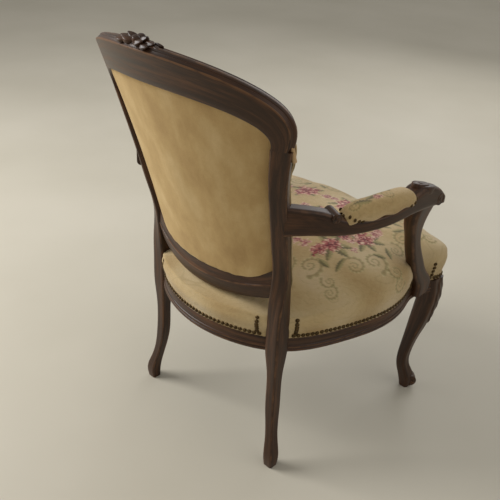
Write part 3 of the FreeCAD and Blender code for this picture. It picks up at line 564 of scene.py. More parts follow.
def makeRails():
    # each rail is the share of the outline between two posts or legs, and a little more at its ends
    p, lap = plan, 4        # into the posts and the legs' sides; four times that behind the knees
    kneeFace, postFace = p["kneeSide"] / 2, p["postSide"] / 2
    x, y = planTable.T
    front = shareTable[(y < 0) & (np.abs(x) < p["kneeX"] - kneeFace + 4 * lap)]
    seatRail("front_seat_rail", np.linspace(front[0], front[-1], 110))
    side = shareTable[(x > 0) & (y > p["kneeY"] + kneeFace - lap)
                      & (y < p["postY"] - postFace + lap)]
    seatRail("side_seat_rail_left", np.linspace(side[0], side[-1], 70))
    seatRail("side_seat_rail_right", np.linspace(-side[-1], -side[0], 70))
    rear = shareTable[(x > 0) & (y > 0) & (x < p["postX"] - postFace + lap)]
    seatRail("rear_seat_rail", np.linspace(rear[0], 1 - rear[0], 60))


makeRails()
print("seat rails made")


# the hollow back

back = {
    # the rear face's curve, in mm and per mm of height and breadth
    "reach": 320.0, "armLevel": 600.0, "lean": 0.292, "sweep": 0.000146, "hollow": 0.00132,
    "foot": 493.0, "footHalf": 184.0, "splay": 0.098, "flare": 9.0, "joint": 790.0,
    "shoulder": 802.0, "top": 871.0, "half": 225.0, "crestShoulder": 835.0, "crestHalf": 266.0,
    "crestTop": 944.0,
    "stileWidth": 34.0, "stileDepth": 28.0, "shoulderGain": 6.0, "openingPower": 2.2,
    "crestPower": 2.1,
}


def backY(x, z):
    # the rear face: reach, plus lean and sweep over the arm's level, less hollow times x squared
    rise = z - back["armLevel"]
    return back["reach"] + back["lean"] * rise + back["sweep"] * rise ** 2 - back["hollow"] * x ** 2


def openingEdge(z):
    # half the width of the opening at a height: a straight splay that flares towards the shoulder
    share = np.clip((z - back["foot"]) / (back["joint"] - back["foot"]), 0, 1.2)
    return back["footHalf"] + back["splay"] * (z - back["foot"]) + back["flare"] * share ** 6


post = {
    # share of the height under the rail, share of the kick, side of the section
    "leg": [(0.0, 1.0, 23), (0.09, 1.03, 27), (0.23, 0.68, 23), (0.5, 0.15, 25.5), (0.83, 0.05, 28),
            (1.0, 0.0, 37)],
    "kickOut": 24, "kickBack": 20,
    # over the seat: share of the way to the opening's foot, mm back, depth, turn in degrees
    "neck": (0.38, 1, 35, 8), "rounding": 0.17,
}


def postStations():
    # height, x, y, width, depth, turn of the post's sections from the floor to the shoulder
    x, y, block = plan["postX"], plan["postY"], plan["postSide"]
    rows = [(s * plan["railBottom"], x + kick * post["kickOut"], y + kick * post["kickBack"],
             side, side, 0) for s, kick, side in post["leg"]]
    rows.append((plan["railTop"], x, y, block, block, 0))
    share, behind, depth, turn = post["neck"]
    rows.append((plan["railTop"] + share * (back["foot"] - plan["railTop"]), x, y + behind, block,
                 depth, turn))
    for share in (0.02, 0.25, 0.5, 0.75, 1.0):
        z = back["foot"] + share * (back["joint"] - back["foot"])
        width = back["stileWidth"] + back["shoulderGain"] * share ** 4
        inner = openingEdge(z)
        turn = math.atan(2 * back["hollow"] * (inner + width / 2))
        x = inner + width / 2 * math.cos(turn)
        y = backY(x, z)
        half = back["stileDepth"] / 2
        rows.append((z, x - math.sin(turn) * half, y - math.cos(turn) * half, width,
                     back["stileDepth"],
                     math.degrees(turn)))
    return np.array(rows)


def levelSweep(name, stations, rounding, side, count=120):
    # level rounded sections up a post or leg; side is 1 for the sitter's left, -1 for the right
    z = np.linspace(stations[0, 0], stations[-1, 0], count)
    x, y, width, depth, turn = splineThrough(stations[:, 0], stations[:, 1:], z).T
    turn = np.radians(turn)
    zero = np.zeros(count)
    across = np.stack([np.cos(turn) * side, -np.sin(turn), zero], 1)
    up = np.stack([np.sin(turn) * side, np.cos(turn), zero], 1)
    a, b, wear = roundedRing(width, depth, rounding * np.minimum(width, depth), 4, 5)
    return sweepPiece(name, np.stack([x * side, y, z], 1), across, up, a, b, wear)


def makePosts():
    # stile and rear leg in one, swept up through the stations
    stations = postStations()
    for side, word in sides:
        piece = levelSweep("rear_post_shaped_" + word, stations, post["rounding"], side)
        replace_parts(piece, "rear_post_" + word)


makePosts()

archSteps = 7        # points of each half of the arch over the opening


def archCurve(half, base, top, power, jointX, count):
    # superellipse over the opening, drawn on down to its joint with each stile
    angle = np.radians(np.linspace(90, 0, archSteps))
    x = half * np.clip(np.cos(angle), 0, 1) ** (2 / power)
    z = base + (top - base) * np.clip(np.sin(angle), 0, 1) ** (2 / power)
    x, z = np.append(x, jointX), np.append(z, back["joint"])
    x[0] = 0
    points = np.stack([np.concatenate([-x[:0:-1], x]), np.concatenate([z[:0:-1], z])], 1)
    knots = chords(points)
    return splineThrough(knots, points, np.linspace(0, knots[-1], count))


crest = {
    # share from the opening to the outer edge, mm past it, mm in front of the rear face
    "ring": [(0, 0.4, 3), (0, 1.2, 0.8), (0, 3, 0), (0.2, 0, 0), (0.4, 0, 0), (0.6, 0, 0),
             (0.8, 0, 0), (1, -10.5, 0), (1, -9.2, 0.3), (1, -8.6, 1.2), (1, -7.8, 3), (1, -6, 5.6),
             (1, -4.6, 7.4), (1, -4.8, 8.8), (1, -3.4, 9.6), (1, -1.4, 11), (1, -0.2, 14),
             (1, 0.3, 17.5), (1, -0.2, 21), (1, -1.6, 24), (1, -3.2, 25.4), (1, -2.6, 27),
             (1, -1.8, 29), (1, -2.6, 31.4), (1, -5.4, 33), (0.8, 0, 33), (0.5, 0, 33),
             (0.2, 0, 33), (0, 4, 33), (0, 1.4, 32.2), (0, 0.4, 30), (0, 0.2, 20), (0, 0.2, 10)],
    # points 7 to 9 are the rear arris: their 1.45 is edge wear raised to paint the arris's pale
    # highlight line; the front bead's 1 is plain wear
    "worn": [7, 8, 9, 16, 17, 18], "rubbed": (1.45, 1.45, 1.45, 1, 1, 1),
    "count": 150,
}


def makeCrest():
    # between the opening's arch and the outer one: low + (high - low) * share + outward * past
    width = back["stileWidth"] + back["shoulderGain"]
    inner = openingEdge(back["joint"])
    outer = inner + width * math.cos(math.atan(2 * back["hollow"] * (inner + width / 2)))
    low = archCurve(back["half"], back["shoulder"], back["top"], back["openingPower"], inner,
                    crest["count"])
    high = archCurve(back["crestHalf"], back["crestShoulder"], back["crestTop"], back["crestPower"],
                     outer, crest["count"])
    share, past, depth = (np.array(crest["ring"]).T[:, None, :, None])
    # towards its two joints the rail thins to the stile's depth and its front corners round over
    end = easeStep((np.abs(np.linspace(-1, 1, crest["count"])) - 0.8) / 0.2)[:, None, None]
    corner = np.clip((depth - 20) / 13, 0, 1) ** 2 * end
    past = past + np.where(share > 0.9, -3.5, 0) * corner + np.where(share < 0.1, 4.0, 0) * corner
    depth = depth * (1 - 0.15 * end)
    outward = unit(high - low)[:, None]
    spots = low[:, None] + (high - low)[:, None] * share + outward * past
    x, z = spots[..., 0], spots[..., 1]
    # the section stands square to the hollow, as the stiles' sections do
    turn = np.arctan(2 * back["hollow"] * x)
    depth = depth[..., 0]
    points = np.stack([x - np.sin(turn) * depth, backY(x, z) - np.cos(turn) * depth, z], -1)
    # its wear holds rubbed edges and, along the rear arris, a painted highlight line
    piece = ringPiece("crest_rail_moulded", points, ringWear(crest, crest["rubbed"]), sharpAngle=42)
    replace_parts(piece, "crest_rail")


makeCrest()

lowerRail = {
    "foot": 408.0, "edge": 440.0, "top": 476.0, "footRise": 27.0, "edgeRise": 32.0, "topRise": 32.0,
    # share of the way from foot to edge, or past 1 from edge to top; mm in front of the rear face
    "ring": [(0.0, 2.2), (0.03, 0.7), (0.08, 0), (0.3, 0), (0.6, 0), (0.86, 0), (0.93, 0.4),
             (0.965, 0.2), (1.0, 0.6), (1.05, 2.0), (1.3, 4.4), (1.7, 8.4), (1.93, 10.6),
             (1.98, 11.6), (2.0, 13), (2.0, 23), (2.0, 32), (1.97, 33), (1.4, 33), (0.7, 33),
             (0.04, 33), (0.0, 32), (0.0, 20), (0.0, 10)],
    "worn": [6, 7, 8],
}


def makeLowerRail():
    # a ring between three rising lines, foot, edge and top, carried from stile to stile
    r = lowerRail
    share = np.linspace(-1.03, 1.03, 80)
    x = share * back["footHalf"]
    foot = r["foot"] + r["footRise"] * share ** 2
    edge = r["edge"] + r["edgeRise"] * share ** 2
    top = r["top"] + r["topRise"] * share ** 6
    level, depth = np.array(r["ring"]).T
    z = np.where(level <= 1, foot[:, None] + (edge - foot)[:, None] * level,
                 edge[:, None] + (top - edge)[:, None] * (level - 1))
    x = np.broadcast_to(x[:, None], z.shape)
    points = np.stack([x, backY(x, z) - depth, z], -1)
    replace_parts(ringPiece("back_lower_rail_moulded", points, ringWear(r)), "back_lower_rail")


makeLowerRail()
print("back frame made")

# front legs, carved in the solid

knee = {"inward": 12.0, "backward": 36.0, "leafTop": 338.0, "leafTip": 196.0, "leafWide": 0.95,
        "relief": 3.4,
        "toeRadius": 16.0, "toeWide": 27.0, "toeOut": 7.5, "toeRise": 5.5}


def legStations():
    # height, x, y, width, depth, turn from the pad under the toe up to the top of the knee's block
    rows = [(0.0, 0.1, 0.72, 24), (0.09, 0.15, 0.73, 34), (0.2, 0.95, 0.98, 29), (0.35, 1, 1, 28),
            (0.45, 0.72, 0.82, 31), (0.58, 0.3, 0.45, 40), (0.7, 0, 0.14, 46),
            (0.87, -0.25, -0.06, 49), (1.0, 0, 0, 48)]
    rows = [(s * plan["showTop"], plan["kneeX"] - inward * knee["inward"],
             plan["kneeY"] + backward * knee["backward"], side, side, 0)
            for s, inward, backward, side in rows]
    return np.array(rows + [(plan["railTop"], plan["kneeX"], plan["kneeY"], 48, 48, 0)])


def leafRelief(u, v):
    # a lobed leaf: u runs from stalk to tip, v across; midrib and slanting veins on a crowned blade
    lobes = 1 + 0.16 * np.abs(np.sin(3.5 * math.pi * u))
    half = np.clip(np.sin(math.pi * np.clip(0.12 + 0.88 * u, 0, 1)), 0, 1) ** 0.65 * lobes
    side = np.abs(v) / np.maximum(half, 1e-3)
    blade = easeStep((1 - side) * 5) * ((u > 0) & (u < 1))
    veins = 0.78 + 0.22 * np.cos(2 * math.pi * (4.2 * u + 1.5 * side))
    rib = 0.35 * np.exp(-(side / 0.1) ** 2) * (1 - u)
    return blade * (veins * (0.75 + 0.25 * side) + rib)


def volute(name, centre, axis, forward, radius, width, turns=1.6, relief=0.16, oval=1.0):
    # a scroll's end: two faces joined by a rounded rim, on each a spiral ridge round an eye
    centre, axis = np.array(centre, float), unit(np.array(axis, float))
    forward = np.array(forward, float)
    forward = unit(forward - axis * (forward @ axis))
    upward = np.cross(axis, forward)
    turn = np.linspace(0, 2 * math.pi, 56, endpoint=False)[None]
    r = np.concatenate([np.linspace(0.04, 0.93, 22), [0.975, 1.0]])[:, None]
    spiral = 0.5 + 0.5 * np.cos(turn - 2 * math.pi * turns * r ** 0.8)
    eye = np.clip((0.3 - r) / 0.06, 0, 1)
    face = np.sqrt(np.clip(1 - ((r - 0.9) / 0.1).clip(0, 1) ** 2, 0, 1))
    ridge = relief * radius * (np.maximum(spiral ** 0.7, eye) - 0.6) * (r < 0.95)
    height, rimHeight = width / 2 * (0.82 + 0.18 * face) + ridge, width * 0.28 + 0 * turn
    heights = np.concatenate([-height, -rimHeight, rimHeight, height[::-1]])
    radii = np.concatenate([r, [[1.01]], [[1.01]], r[::-1]]) * radius + 0 * turn
    points = (centre + axis * heights[..., None] + forward
              * (radii * oval * np.cos(turn))[..., None]
              + upward * (radii * np.sin(turn))[..., None])
    wear = np.concatenate([spiral ** 3, 0 * turn, 0 * turn, spiral[::-1] ** 3]) * 0.8
    return ringPiece(name, points, wear, sharpAngle=60)


def makeFrontLeg(side, word):
    # level sections through the stations, grown by the leaf's relief about the outward diagonal
    stations = legStations()
    z = np.linspace(0, plan["railTop"], 230)
    x, y, width, depth, _ = splineThrough(stations[:, 0], stations[:, 1:], z).T
    a, b, wear = roundedRing(width, depth, 0.27 * width, 9, 9)
    angle = np.arctan2(-b - a, a - b)       # nought along the outward diagonal
    leafShare = (knee["leafTop"] - z) / (knee["leafTop"] - knee["leafTip"])
    relief = knee["relief"] * leafRelief(leafShare[:, None] + 0 * angle, angle / knee["leafWide"])
    grow = 1 + relief / np.hypot(a, b)
    grow = np.where((z > plan["showTop"])[:, None], 0.8, grow)       # thinner behind the cloth
    path = np.stack([x * side, y, z], 1)
    piece = sweepPiece("front_leg_carved_" + word, path, np.array([side, 0.0, 0]),
                       np.array([0, 1.0, 0]),
                       a * grow, b * grow, np.clip(wear * 0.7 + relief / 5, 0, 1), 60)
    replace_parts(piece, "front_leg_" + word)
    out, rise = knee["toeOut"], knee["toeRise"]
    toe = [(stations[1, 1] + out) * side, stations[1, 2] - out, knee["toeRadius"] + rise]
    volute("toe_scroll_" + word, toe, (side, 1, 0), (side, -1, 0), knee["toeRadius"],
           knee["toeWide"], relief=0.12)


for side, word in sides:
    makeFrontLeg(side, word)
print("front legs made")


# arms, their supports and scrolls

arm = {
    "under": 598.0, "bow": 304.0, "bowY": -65.0, "tip": -130.0, "startZ": 626.0,
    # share from the stile to the tip, lift, height, width
    "profile": [(0, 7, 61, 34), (0.1, 7, 54, 34), (0.19, 3, 47, 37), (0.25, 1, 38, 38),
                (0.37, 0, 29, 40), (0.53, 0, 28, 42), (0.66, 1, 38, 42), (0.78, 0, 54, 43),
                (0.88, -3, 50, 44), (0.96, -6, 36, 44), (1.0, -7, 22, 41)],
    "supportFoot": 312.0, "supportTop": 602.0,
    # share of the height, rake, spread, length along the arm, thickness
    "support": [(0, 0, 0, 48, 28), (0.12, 0, 0, 56, 32), (0.22, 0.19, 0.06, 50, 31),
                (0.39, 0.46, 0.18, 42, 29), (0.56, 0.7, 0.32, 36, 29), (0.71, 0.89, 0.53, 36, 29),
                (0.86, 1.01, 0.76, 52, 33), (1, 1, 1, 68, 37)],
    "supportX": 268, "supportSpread": 34, "supportY": -193, "supportRake": 116,
    "knob": {"y": 176, "z": 641.5, "radius": 10.5, "width": 41},
    # the hand's scroll in two tiers: height, mm out, y, radius, width, oval
    "tiers": [(640.0, 1.0, -66, 21.0, 15.0, 1.55), (647.0, -1.0, -56, 15.5, 12.0, 1.6)],
    "tierSlope": 14,
    "curl": {"y": -108, "z": 609, "out": 17.5, "radius": 14, "width": 10},
}
armStartX = openingEdge(arm["startZ"]) + back["stileWidth"] * 0.43
armStartY = backY(armStartX, arm["startZ"]) - back["stileDepth"] / 2


def armX(y):
    # the arm's centre line: it leaves its bow by the cube of the share of the way to the stile
    share = np.clip((np.asarray(y, float) - arm["bowY"]) / (armStartY - arm["bowY"]), 0, None)
    return arm["bow"] - (arm["bow"] - armStartX) * share ** 3


def armSpot(y, z, side, out=0.0):
    # a place on or beside the arm's centre line, out mm to its outer side
    along = unit(np.array([armX(y + 1) - armX(y - 1), 2.0]))
    spot = np.array([(armX(y) + along[1] * out) * side, y - along[0] * out, z])
    return spot, np.array([along[0] * side, along[1], 0])


def makeArm(side, word):
    # the arm swept along its bow, with its knob, the scrolls of its hand and its raked support
    y = np.linspace(armStartY, arm["tip"], 170)
    share = (armStartY - y) / (armStartY - arm["tip"])
    profile = np.array(arm["profile"], float)
    lift, height, width = splineThrough(profile[:, 0], profile[:, 1:], share).T
    path = np.stack([armX(y) * side, y, arm["under"] + lift + height / 2], 1)
    along = travel(path * [1, 1, 0])
    across = np.stack([along[:, 1] * side, -along[:, 0] * side, 0 * y], 1)
    a, b, wear = roundedRing(width, height, 0.27 * np.minimum(width, height), 6, 7)
    # behind the pad the top edges carry a bead with a hollow beside it
    bead = np.clip((0.2 - share) / 0.03, 0, 1)[:, None]
    fromTop = (height / 2)[:, None] - b
    groove = np.exp(-((fromTop - 8.5) / 2.2) ** 2) * (np.abs(a) > 0.42 * width[:, None]) * bead
    a = a * (1 - 0.09 * groove)
    piece = sweepPiece("arm_shaped_" + word, path, -across, np.array([0, 0, 1.0]), a, b, wear,
                       sharpAngle=60)
    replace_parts(piece, "arm_" + word)
    # the knob where the moulding ends behind the pad, and the two-tiered scroll on the hand
    knob, curl, tilt = arm["knob"], arm["curl"], math.radians(arm["tierSlope"])
    spot, along = armSpot(knob["y"], knob["z"], side)
    volute("arm_knob_" + word, spot, np.cross(along, [0, 0, 1]), along, knob["radius"],
           knob["width"], turns=1.2)
    for tier, (level, reach, place, radius, thick, oval) in enumerate(arm["tiers"]):
        spot, along = armSpot(place, level, side, reach)
        slope = along * math.cos(tilt) + np.array([0, 0, 1]) * math.sin(tilt)
        normal = np.cross(np.cross(slope, [0, 0, 1]), slope)
        volute("hand_scroll_%d_%s" % (tier, word), spot, normal, slope, radius, thick, turns=1.4,
               relief=0.14, oval=oval)
    for face, place in ((1, "outer"), (-1, "inner")):
        spot, along = armSpot(curl["y"], curl["z"], side, face * curl["out"])
        volute("hand_curl_%s_%s" % (word, place), spot, np.cross(along, [0, 0, 1]), along,
               curl["radius"], curl["width"], turns=1.5)
    # the support
    rows = np.array(arm["support"], float)
    share, rake, spread, length, thick = rows.T
    stations = np.stack([arm["supportFoot"] + share * (arm["supportTop"] - arm["supportFoot"]),
                         arm["supportX"] + arm["supportSpread"] * spread,
                         arm["supportY"] + arm["supportRake"] * rake, thick, length, 0 * share], 1)
    piece = levelSweep("arm_support_shaped_" + word, stations, 0.32, side, 130)
    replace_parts(piece, "arm_support_" + word)


for side, word in sides:
    makeArm(side, word)
print("arms made")


# the woven design, painted by formula

yarns = {
    "ground": "#cfb585", "groundDeep": "#bd9f6c", "line": "#a08a58", "olive": "#84794a",
    "oliveDeep": "#5f5a38",
    "oliveLight": "#a89c68", "rose": ["#4f1820", "#8c2f35", "#b8605c", "#d9a08f", "#ecd2b4"],
    "blossom": ["#7a3a3c", "#b9716c", "#dcae9c", "#efdcbc"],
}


fullTurn = 6.283       # radians, near enough for a pattern


def softNoise(place, scale, seed, waves=9):
    # many plane waves of about one length, crossing in seeded directions
    random = np.random.default_rng(seed)
    total = np.zeros(place.shape[:-1])
    for turn, phase, size in zip(random.uniform(0, fullTurn, waves),
                                 random.uniform(0, fullTurn, waves),
                                 random.uniform(0.7, 1.5, waves)):
        way = place[..., 0] * math.cos(turn) + place[..., 1] * math.sin(turn)
        total += np.cos(way * fullTurn / (scale * size) + phase)
    return total / math.sqrt(waves / 2)


def stitchNoise(place, pitch, seed):
    # one random value for each stitch's cell
    cell = np.floor(place / pitch)
    value = np.sin(cell[..., 0] * 127.1 + cell[..., 1] * 311.7 + seed * 17.3) * 43758.5453
    return value - np.floor(value)


def shades(codes, share):
    # colours along a row of shades
    table = np.array([linearColour(code)[:3] for code in codes])
    at = np.linspace(0, 1, len(codes))
    return np.stack([np.interp(share, at, table[:, k]) for k in range(3)], -1)


def layOver(colour, over, share):
    # one colour laid over another by its share
    return colour + (over - colour) * share[..., None]


def paintRose(colour, place, x, y, radius, turn, codes, fuzz):
    # petals wound about the heart: rings of shade bent by five lobes, with a ragged woven edge
    dx, dy = place[..., 0] - x, place[..., 1] - y
    # the weave breaks every curve: both axes shift by a few mm of noise
    dx = dx + 2.2 * softNoise(place, 17, 61) + 1.6 * (fuzz - 0.5)
    dy = dy + 2.2 * softNoise(place, 15, 62) - 1.6 * (fuzz - 0.5)
    far, angle = np.hypot(dx, dy) / radius, np.arctan2(dy, dx) + turn
    edge = 1 + 0.1 * np.cos(5 * angle) + 0.13 * np.cos(13 * angle) + 0.2 * (fuzz - 0.5)
    petals = np.cos(7 * angle + 5 * far) * np.cos(math.pi * (far * 3.1 + 0.2 * np.cos(5 * angle)))
    tone = np.clip(0.45 + 0.5 * petals + 0.45 * (far - 0.5) + 0.45 * (fuzz - 0.5), 0, 1)
    return layOver(colour, shades(codes, tone), easeStep((edge - far) / 0.1))


def paintLeaf(colour, place, x, y, length, width, turn, fuzz):
    # a pointed blade with a saw edge, lighter on one side of its midrib
    c, s = math.cos(turn), math.sin(turn)
    along = ((place[..., 0] - x) * c + (place[..., 1] - y) * s) / length
    side = (-(place[..., 0] - x) * s + (place[..., 1] - y) * c) / width
    half = np.sin(math.pi * np.clip(along, 0, 1)) ** 0.8 * (0.5 + 0.09 * np.cos(along * 44))
    inside = easeStep((half - np.abs(side)) / 0.12) * ((along > 0) & (along < 1))
    veins = 0.15 * np.cos(along * 40 + np.abs(side) * 9)
    tone = np.clip(0.5 + 0.55 * np.tanh(side * 9) + veins + 0.3 * (fuzz - 0.5), 0, 1)
    codes = [yarns["oliveDeep"], yarns["olive"], yarns["oliveLight"]]
    return layOver(colour, shades(codes, tone), inside * 0.9)


def paintScroll(colour, place, x, y, radius, turn, hand):
    # an acanthus curl: a band along a spiral that closes on its eye, with a pale upper edge
    dx, dy = (place[..., 0] - x) * hand, place[..., 1] - y
    far, angle = np.hypot(dx, dy) / radius, (np.arctan2(dy, dx) - turn) % fullTurn
    nearest = np.full(far.shape, 9.0)
    for lap in range(2):
        line = np.exp(-0.16 * (angle + fullTurn * lap))
        gap = np.where((lap == 0) & (angle > 5.9), 9.0, (far - line) / (0.13 * line + 0.03))
        nearest = np.where(np.abs(gap) < np.abs(nearest), gap, nearest)
    band = easeStep((1.25 - np.abs(nearest)) * 2.5)
    frill = np.clip(0.5 + 0.4 * nearest + 0.25 * np.cos(angle * 13), 0, 1)
    codes = [yarns["olive"], yarns["line"], yarns["oliveLight"], "#dccb9c"]
    return layOver(colour, shades(codes, frill), band * 0.72)


def wreath(x, y, wide, tall, count, seed):
    # roses round an oval with leaves to both sides and small blossoms between, and scrolls outside
    random = np.random.default_rng(seed)
    motifs = []
    for k in range(count):
        turn = 2 * math.pi * (k + 0.5) / count + random.uniform(-0.08, 0.08)
        cx, cy = x + wide * math.cos(turn), y + tall * math.sin(turn)
        for fan in (-1.1, -0.4, 0.5, 1.2, 2.6, 3.7):
            motifs.append(("leaf", cx, cy, random.uniform(42, 64), random.uniform(17, 24),
                           turn + fan))
        motifs.append(("rose", cx, cy, random.uniform(24, 35), random.uniform(0, 6)))
        motifs.append(("rose", cx + random.uniform(-38, 38), cy + random.uniform(20, 34),
                       random.uniform(14, 20),
                       random.uniform(0, 6)))
        for step in (0.42, 0.6):
            between = turn + 2 * math.pi * step / count
            out = random.uniform(0.9, 1.16)
            motifs.append(("blossom", x + wide * out * math.cos(between),
                           y + tall * out * math.sin(between),
                           random.uniform(9, 14), random.uniform(0, 6)))
    for k in range(count):
        turn = 2 * math.pi * k / count
        for hand in (1, -1):
            motifs.append(("scroll", x + (wide + 74) * math.cos(turn) - 26 * hand * math.sin(turn),
                           y + (tall + 70) * math.sin(turn) + 26 * hand * math.cos(turn),
                           random.uniform(26, 36), turn, hand))
            far = 128 + 14 * hand
            motifs.append(("scroll", x + (wide + far) * math.cos(turn + 0.3),
                           y + (tall + far) * math.sin(turn + 0.3),
                           random.uniform(20, 30), turn + 2 * hand, -hand))
            motifs.append(("leaf", x + (wide + 50) * math.cos(turn + 0.2 * hand),
                           y + (tall + 46) * math.sin(turn + 0.2 * hand), random.uniform(30, 52),
                           15,
                           turn + 0.9 * hand))
    return motifs


def bouquet(x, y, size, seed):
    # one large rose among leaves, with small blossoms round it
    random = np.random.default_rng(seed)
    motifs = [("leaf", x, y, random.uniform(1.5, 2.1) * size, 0.62 * size, turn)
              for turn in np.arange(0, 6.2, 0.7)]
    motifs.append(("rose", x, y, size, 1.0))
    motifs += [("blossom", x + 1.25 * size * math.cos(turn), y + 1.25 * size * math.sin(turn),
                0.42 * size, turn)
               for turn in np.arange(0.4, 6.4, 1.05)]
    return motifs


def tapestryColours(place, motifs, seed=3):
    # cream ground clouded with deeper yarn and fine damask lines, then every motif in turn
    fuzz = 0.6 * stitchNoise(place, 3.2, seed) + 0.4 * stitchNoise(place, 7.0, seed + 1)
    cloud = softNoise(place, 140, seed) * 0.25 + 0.5 + 0.3 * (fuzz - 0.5)
    colour = shades([yarns["groundDeep"], yarns["ground"], "#d8c197"], np.clip(cloud, 0, 1))
    vein = np.abs(np.sin(3.6 * softNoise(place, 120, seed + 2, 7)))
    line = easeStep((0.17 - vein) / 0.12) * (0.45 + 0.3 * fuzz)
    colour = layOver(colour, shades([yarns["line"]] * 2, fuzz), line * 0.45)
    order = ["scroll", "leaf", "blossom", "rose"]
    for kind, *shape in sorted(motifs, key=lambda motif: order.index(motif[0])):
        near = np.hypot(place[..., 0] - shape[0], place[..., 1] - shape[1]) < 1.35 * shape[2] + 2
        if not near.any():
            continue
        part, here, raw = colour[near], place[near], fuzz[near]
        if kind == "scroll":
            colour[near] = paintScroll(part, here, *shape)
        elif kind == "leaf":
            colour[near] = paintLeaf(part, here, *shape, raw)
        else:
            colour[near] = paintRose(part, here, *shape, yarns[kind], raw)
    return colour


# soft pieces on square rings: the middle of a cloth is a square grid, its rim follows an outline

def ringMap(half, legShare, postShare):
    # each grid point's distance from the middle as a share, and its place round the outline
    k = np.arange(-half, half + 1) / half
    i, j = np.meshgrid(k, k)
    rho = np.maximum(np.abs(i), np.abs(j))
    a, b = i / np.maximum(rho, 1e-9), j / np.maximum(rho, 1e-9)
    lap = np.select([b < -1 + 1e-9, a > 1 - 1e-9, b > 1 - 1e-9],
                    [a / 8, 0.25 + b / 8, 0.5 - a / 8], 0.75 - b / 8)
    corners = [0, legShare, postShare, 1 - postShare, 1 - legShare, 1]
    return rho, np.interp(lap % 1, [0, 1 / 8, 3 / 8, 5 / 8, 7 / 8, 1], corners)


def rimIndices(half):
    # the grid's border, anticlockwise from the middle of its front side
    n, c = 2 * half + 1, half
    cols = [*range(c, n), *[n - 1] * (n - 2), *range(n - 1, -1, -1), *[0] * (n - 2), *range(0, c)]
    rows = [*[0] * (n - c), *range(1, n - 1), *[n - 1] * n, *range(n - 2, 0, -1), *[0] * c]
    return np.array(rows) * n + np.array(cols)


def softPiece(name, grid, rows, uv, design, material):
    # a grid of points closed behind its rim by smaller and smaller loops and a last flat face
    half = (grid.shape[0] - 1) // 2
    faces, _ = gridFaces(grid.shape[0], grid.shape[1], False)
    rim = rimIndices(half)
    count, start = len(rim), grid.shape[0] ** 2
    points, places, colours = [grid.reshape(-1, 3)], [uv.reshape(-1, 2)], [design.reshape(-1, 3)]
    loops = [rim]
    for row in rows:
        loops.append(start + np.arange(count))
        start += count
        points.append(row)
        places.append(uv.reshape(-1, 2)[rim])
        colours.append(design.reshape(-1, 3)[rim])
    quads = [faces]
    for outer, inner in zip(loops, loops[1:]):
        quads.append(np.stack([outer, inner, np.roll(inner, -1), np.roll(outer, -1)], 1))
    quads = np.concatenate(quads).tolist()
    if rows:
        quads.append(loops[-1].tolist())
    points, places, colours = (np.concatenate(part) for part in (points, places, colours))
    corner = np.concatenate([np.asarray(face) for face in quads])
    return makePiece(name, toFrame(points), quads, material, places[corner], None,
                     colours, bool(rows),
                     sharpAngle=80)


def settleCloth(grid, held, pressure, cap, spread, targets):
    # cloth over its stuffing: blown outwards on a coarse grid while its rim is held; the travel,
    # capped, is then carried over to the fine points as an average weighted by nearness
    faces, _ = gridFaces(grid.shape[0], grid.shape[1], False)
    start = toFrame(grid.reshape(-1, 3))
    mesh = bpy.data.meshes.new("cloth under test")
    mesh.from_pydata(start, [], faces.tolist())
    cloth = bpy.data.objects.new("cloth under test", mesh)
    scene = bpy.context.scene
    scene.collection.objects.link(cloth)
    group = cloth.vertex_groups.new(name="held")
    for level in np.unique(held):
        group.add(np.flatnonzero(held.ravel() == level).tolist(), float(level), "REPLACE")
    modifier = cloth.modifiers.new("cloth", "CLOTH")
    wool = modifier.settings
    wool.quality, wool.mass, wool.vertex_group_mass = 6, 0.35, "held"
    wool.tension_stiffness, wool.compression_stiffness, wool.shear_stiffness = 18, 18, 8
    wool.bending_stiffness, wool.shrink_min = 1.5, -0.02
    wool.use_pressure, wool.uniform_pressure_force = True, pressure
    wool.effector_weights.gravity = 0
    frames, blockSize = 20, 4000
    modifier.point_cache.frame_start, modifier.point_cache.frame_end = 1, frames
    for step in range(1, frames + 1):
        scene.frame_set(step)
    done = cloth.evaluated_get(bpy.context.evaluated_depsgraph_get()).to_mesh()
    settled = np.empty(len(mesh.vertices) * 3, np.float32)
    done.vertices.foreach_get("co", settled)
    scene.frame_set(1)
    bpy.data.objects.remove(cloth)
    bpy.data.meshes.remove(mesh)
    move = (settled.reshape(-1, 3) - np.asarray(start)) * 1000
    size = np.linalg.norm(move, axis=1, keepdims=True)
    move *= np.minimum(1, cap / np.maximum(size, 1e-6))
    result = np.zeros_like(targets)
    flat, coarse = targets.reshape(-1, 3), grid.reshape(-1, 3)
    for first in range(0, len(flat), blockSize):
        block = flat[first:first + blockSize]
        nearness = np.exp(-((block[:, None] - coarse[None]) ** 2).sum(2) / (2 * spread ** 2))
        moved = nearness @ move
        result.reshape(-1, 3)[first:first + blockSize] = moved / nearness.sum(1, keepdims=True)
    return result


# the sprung seat

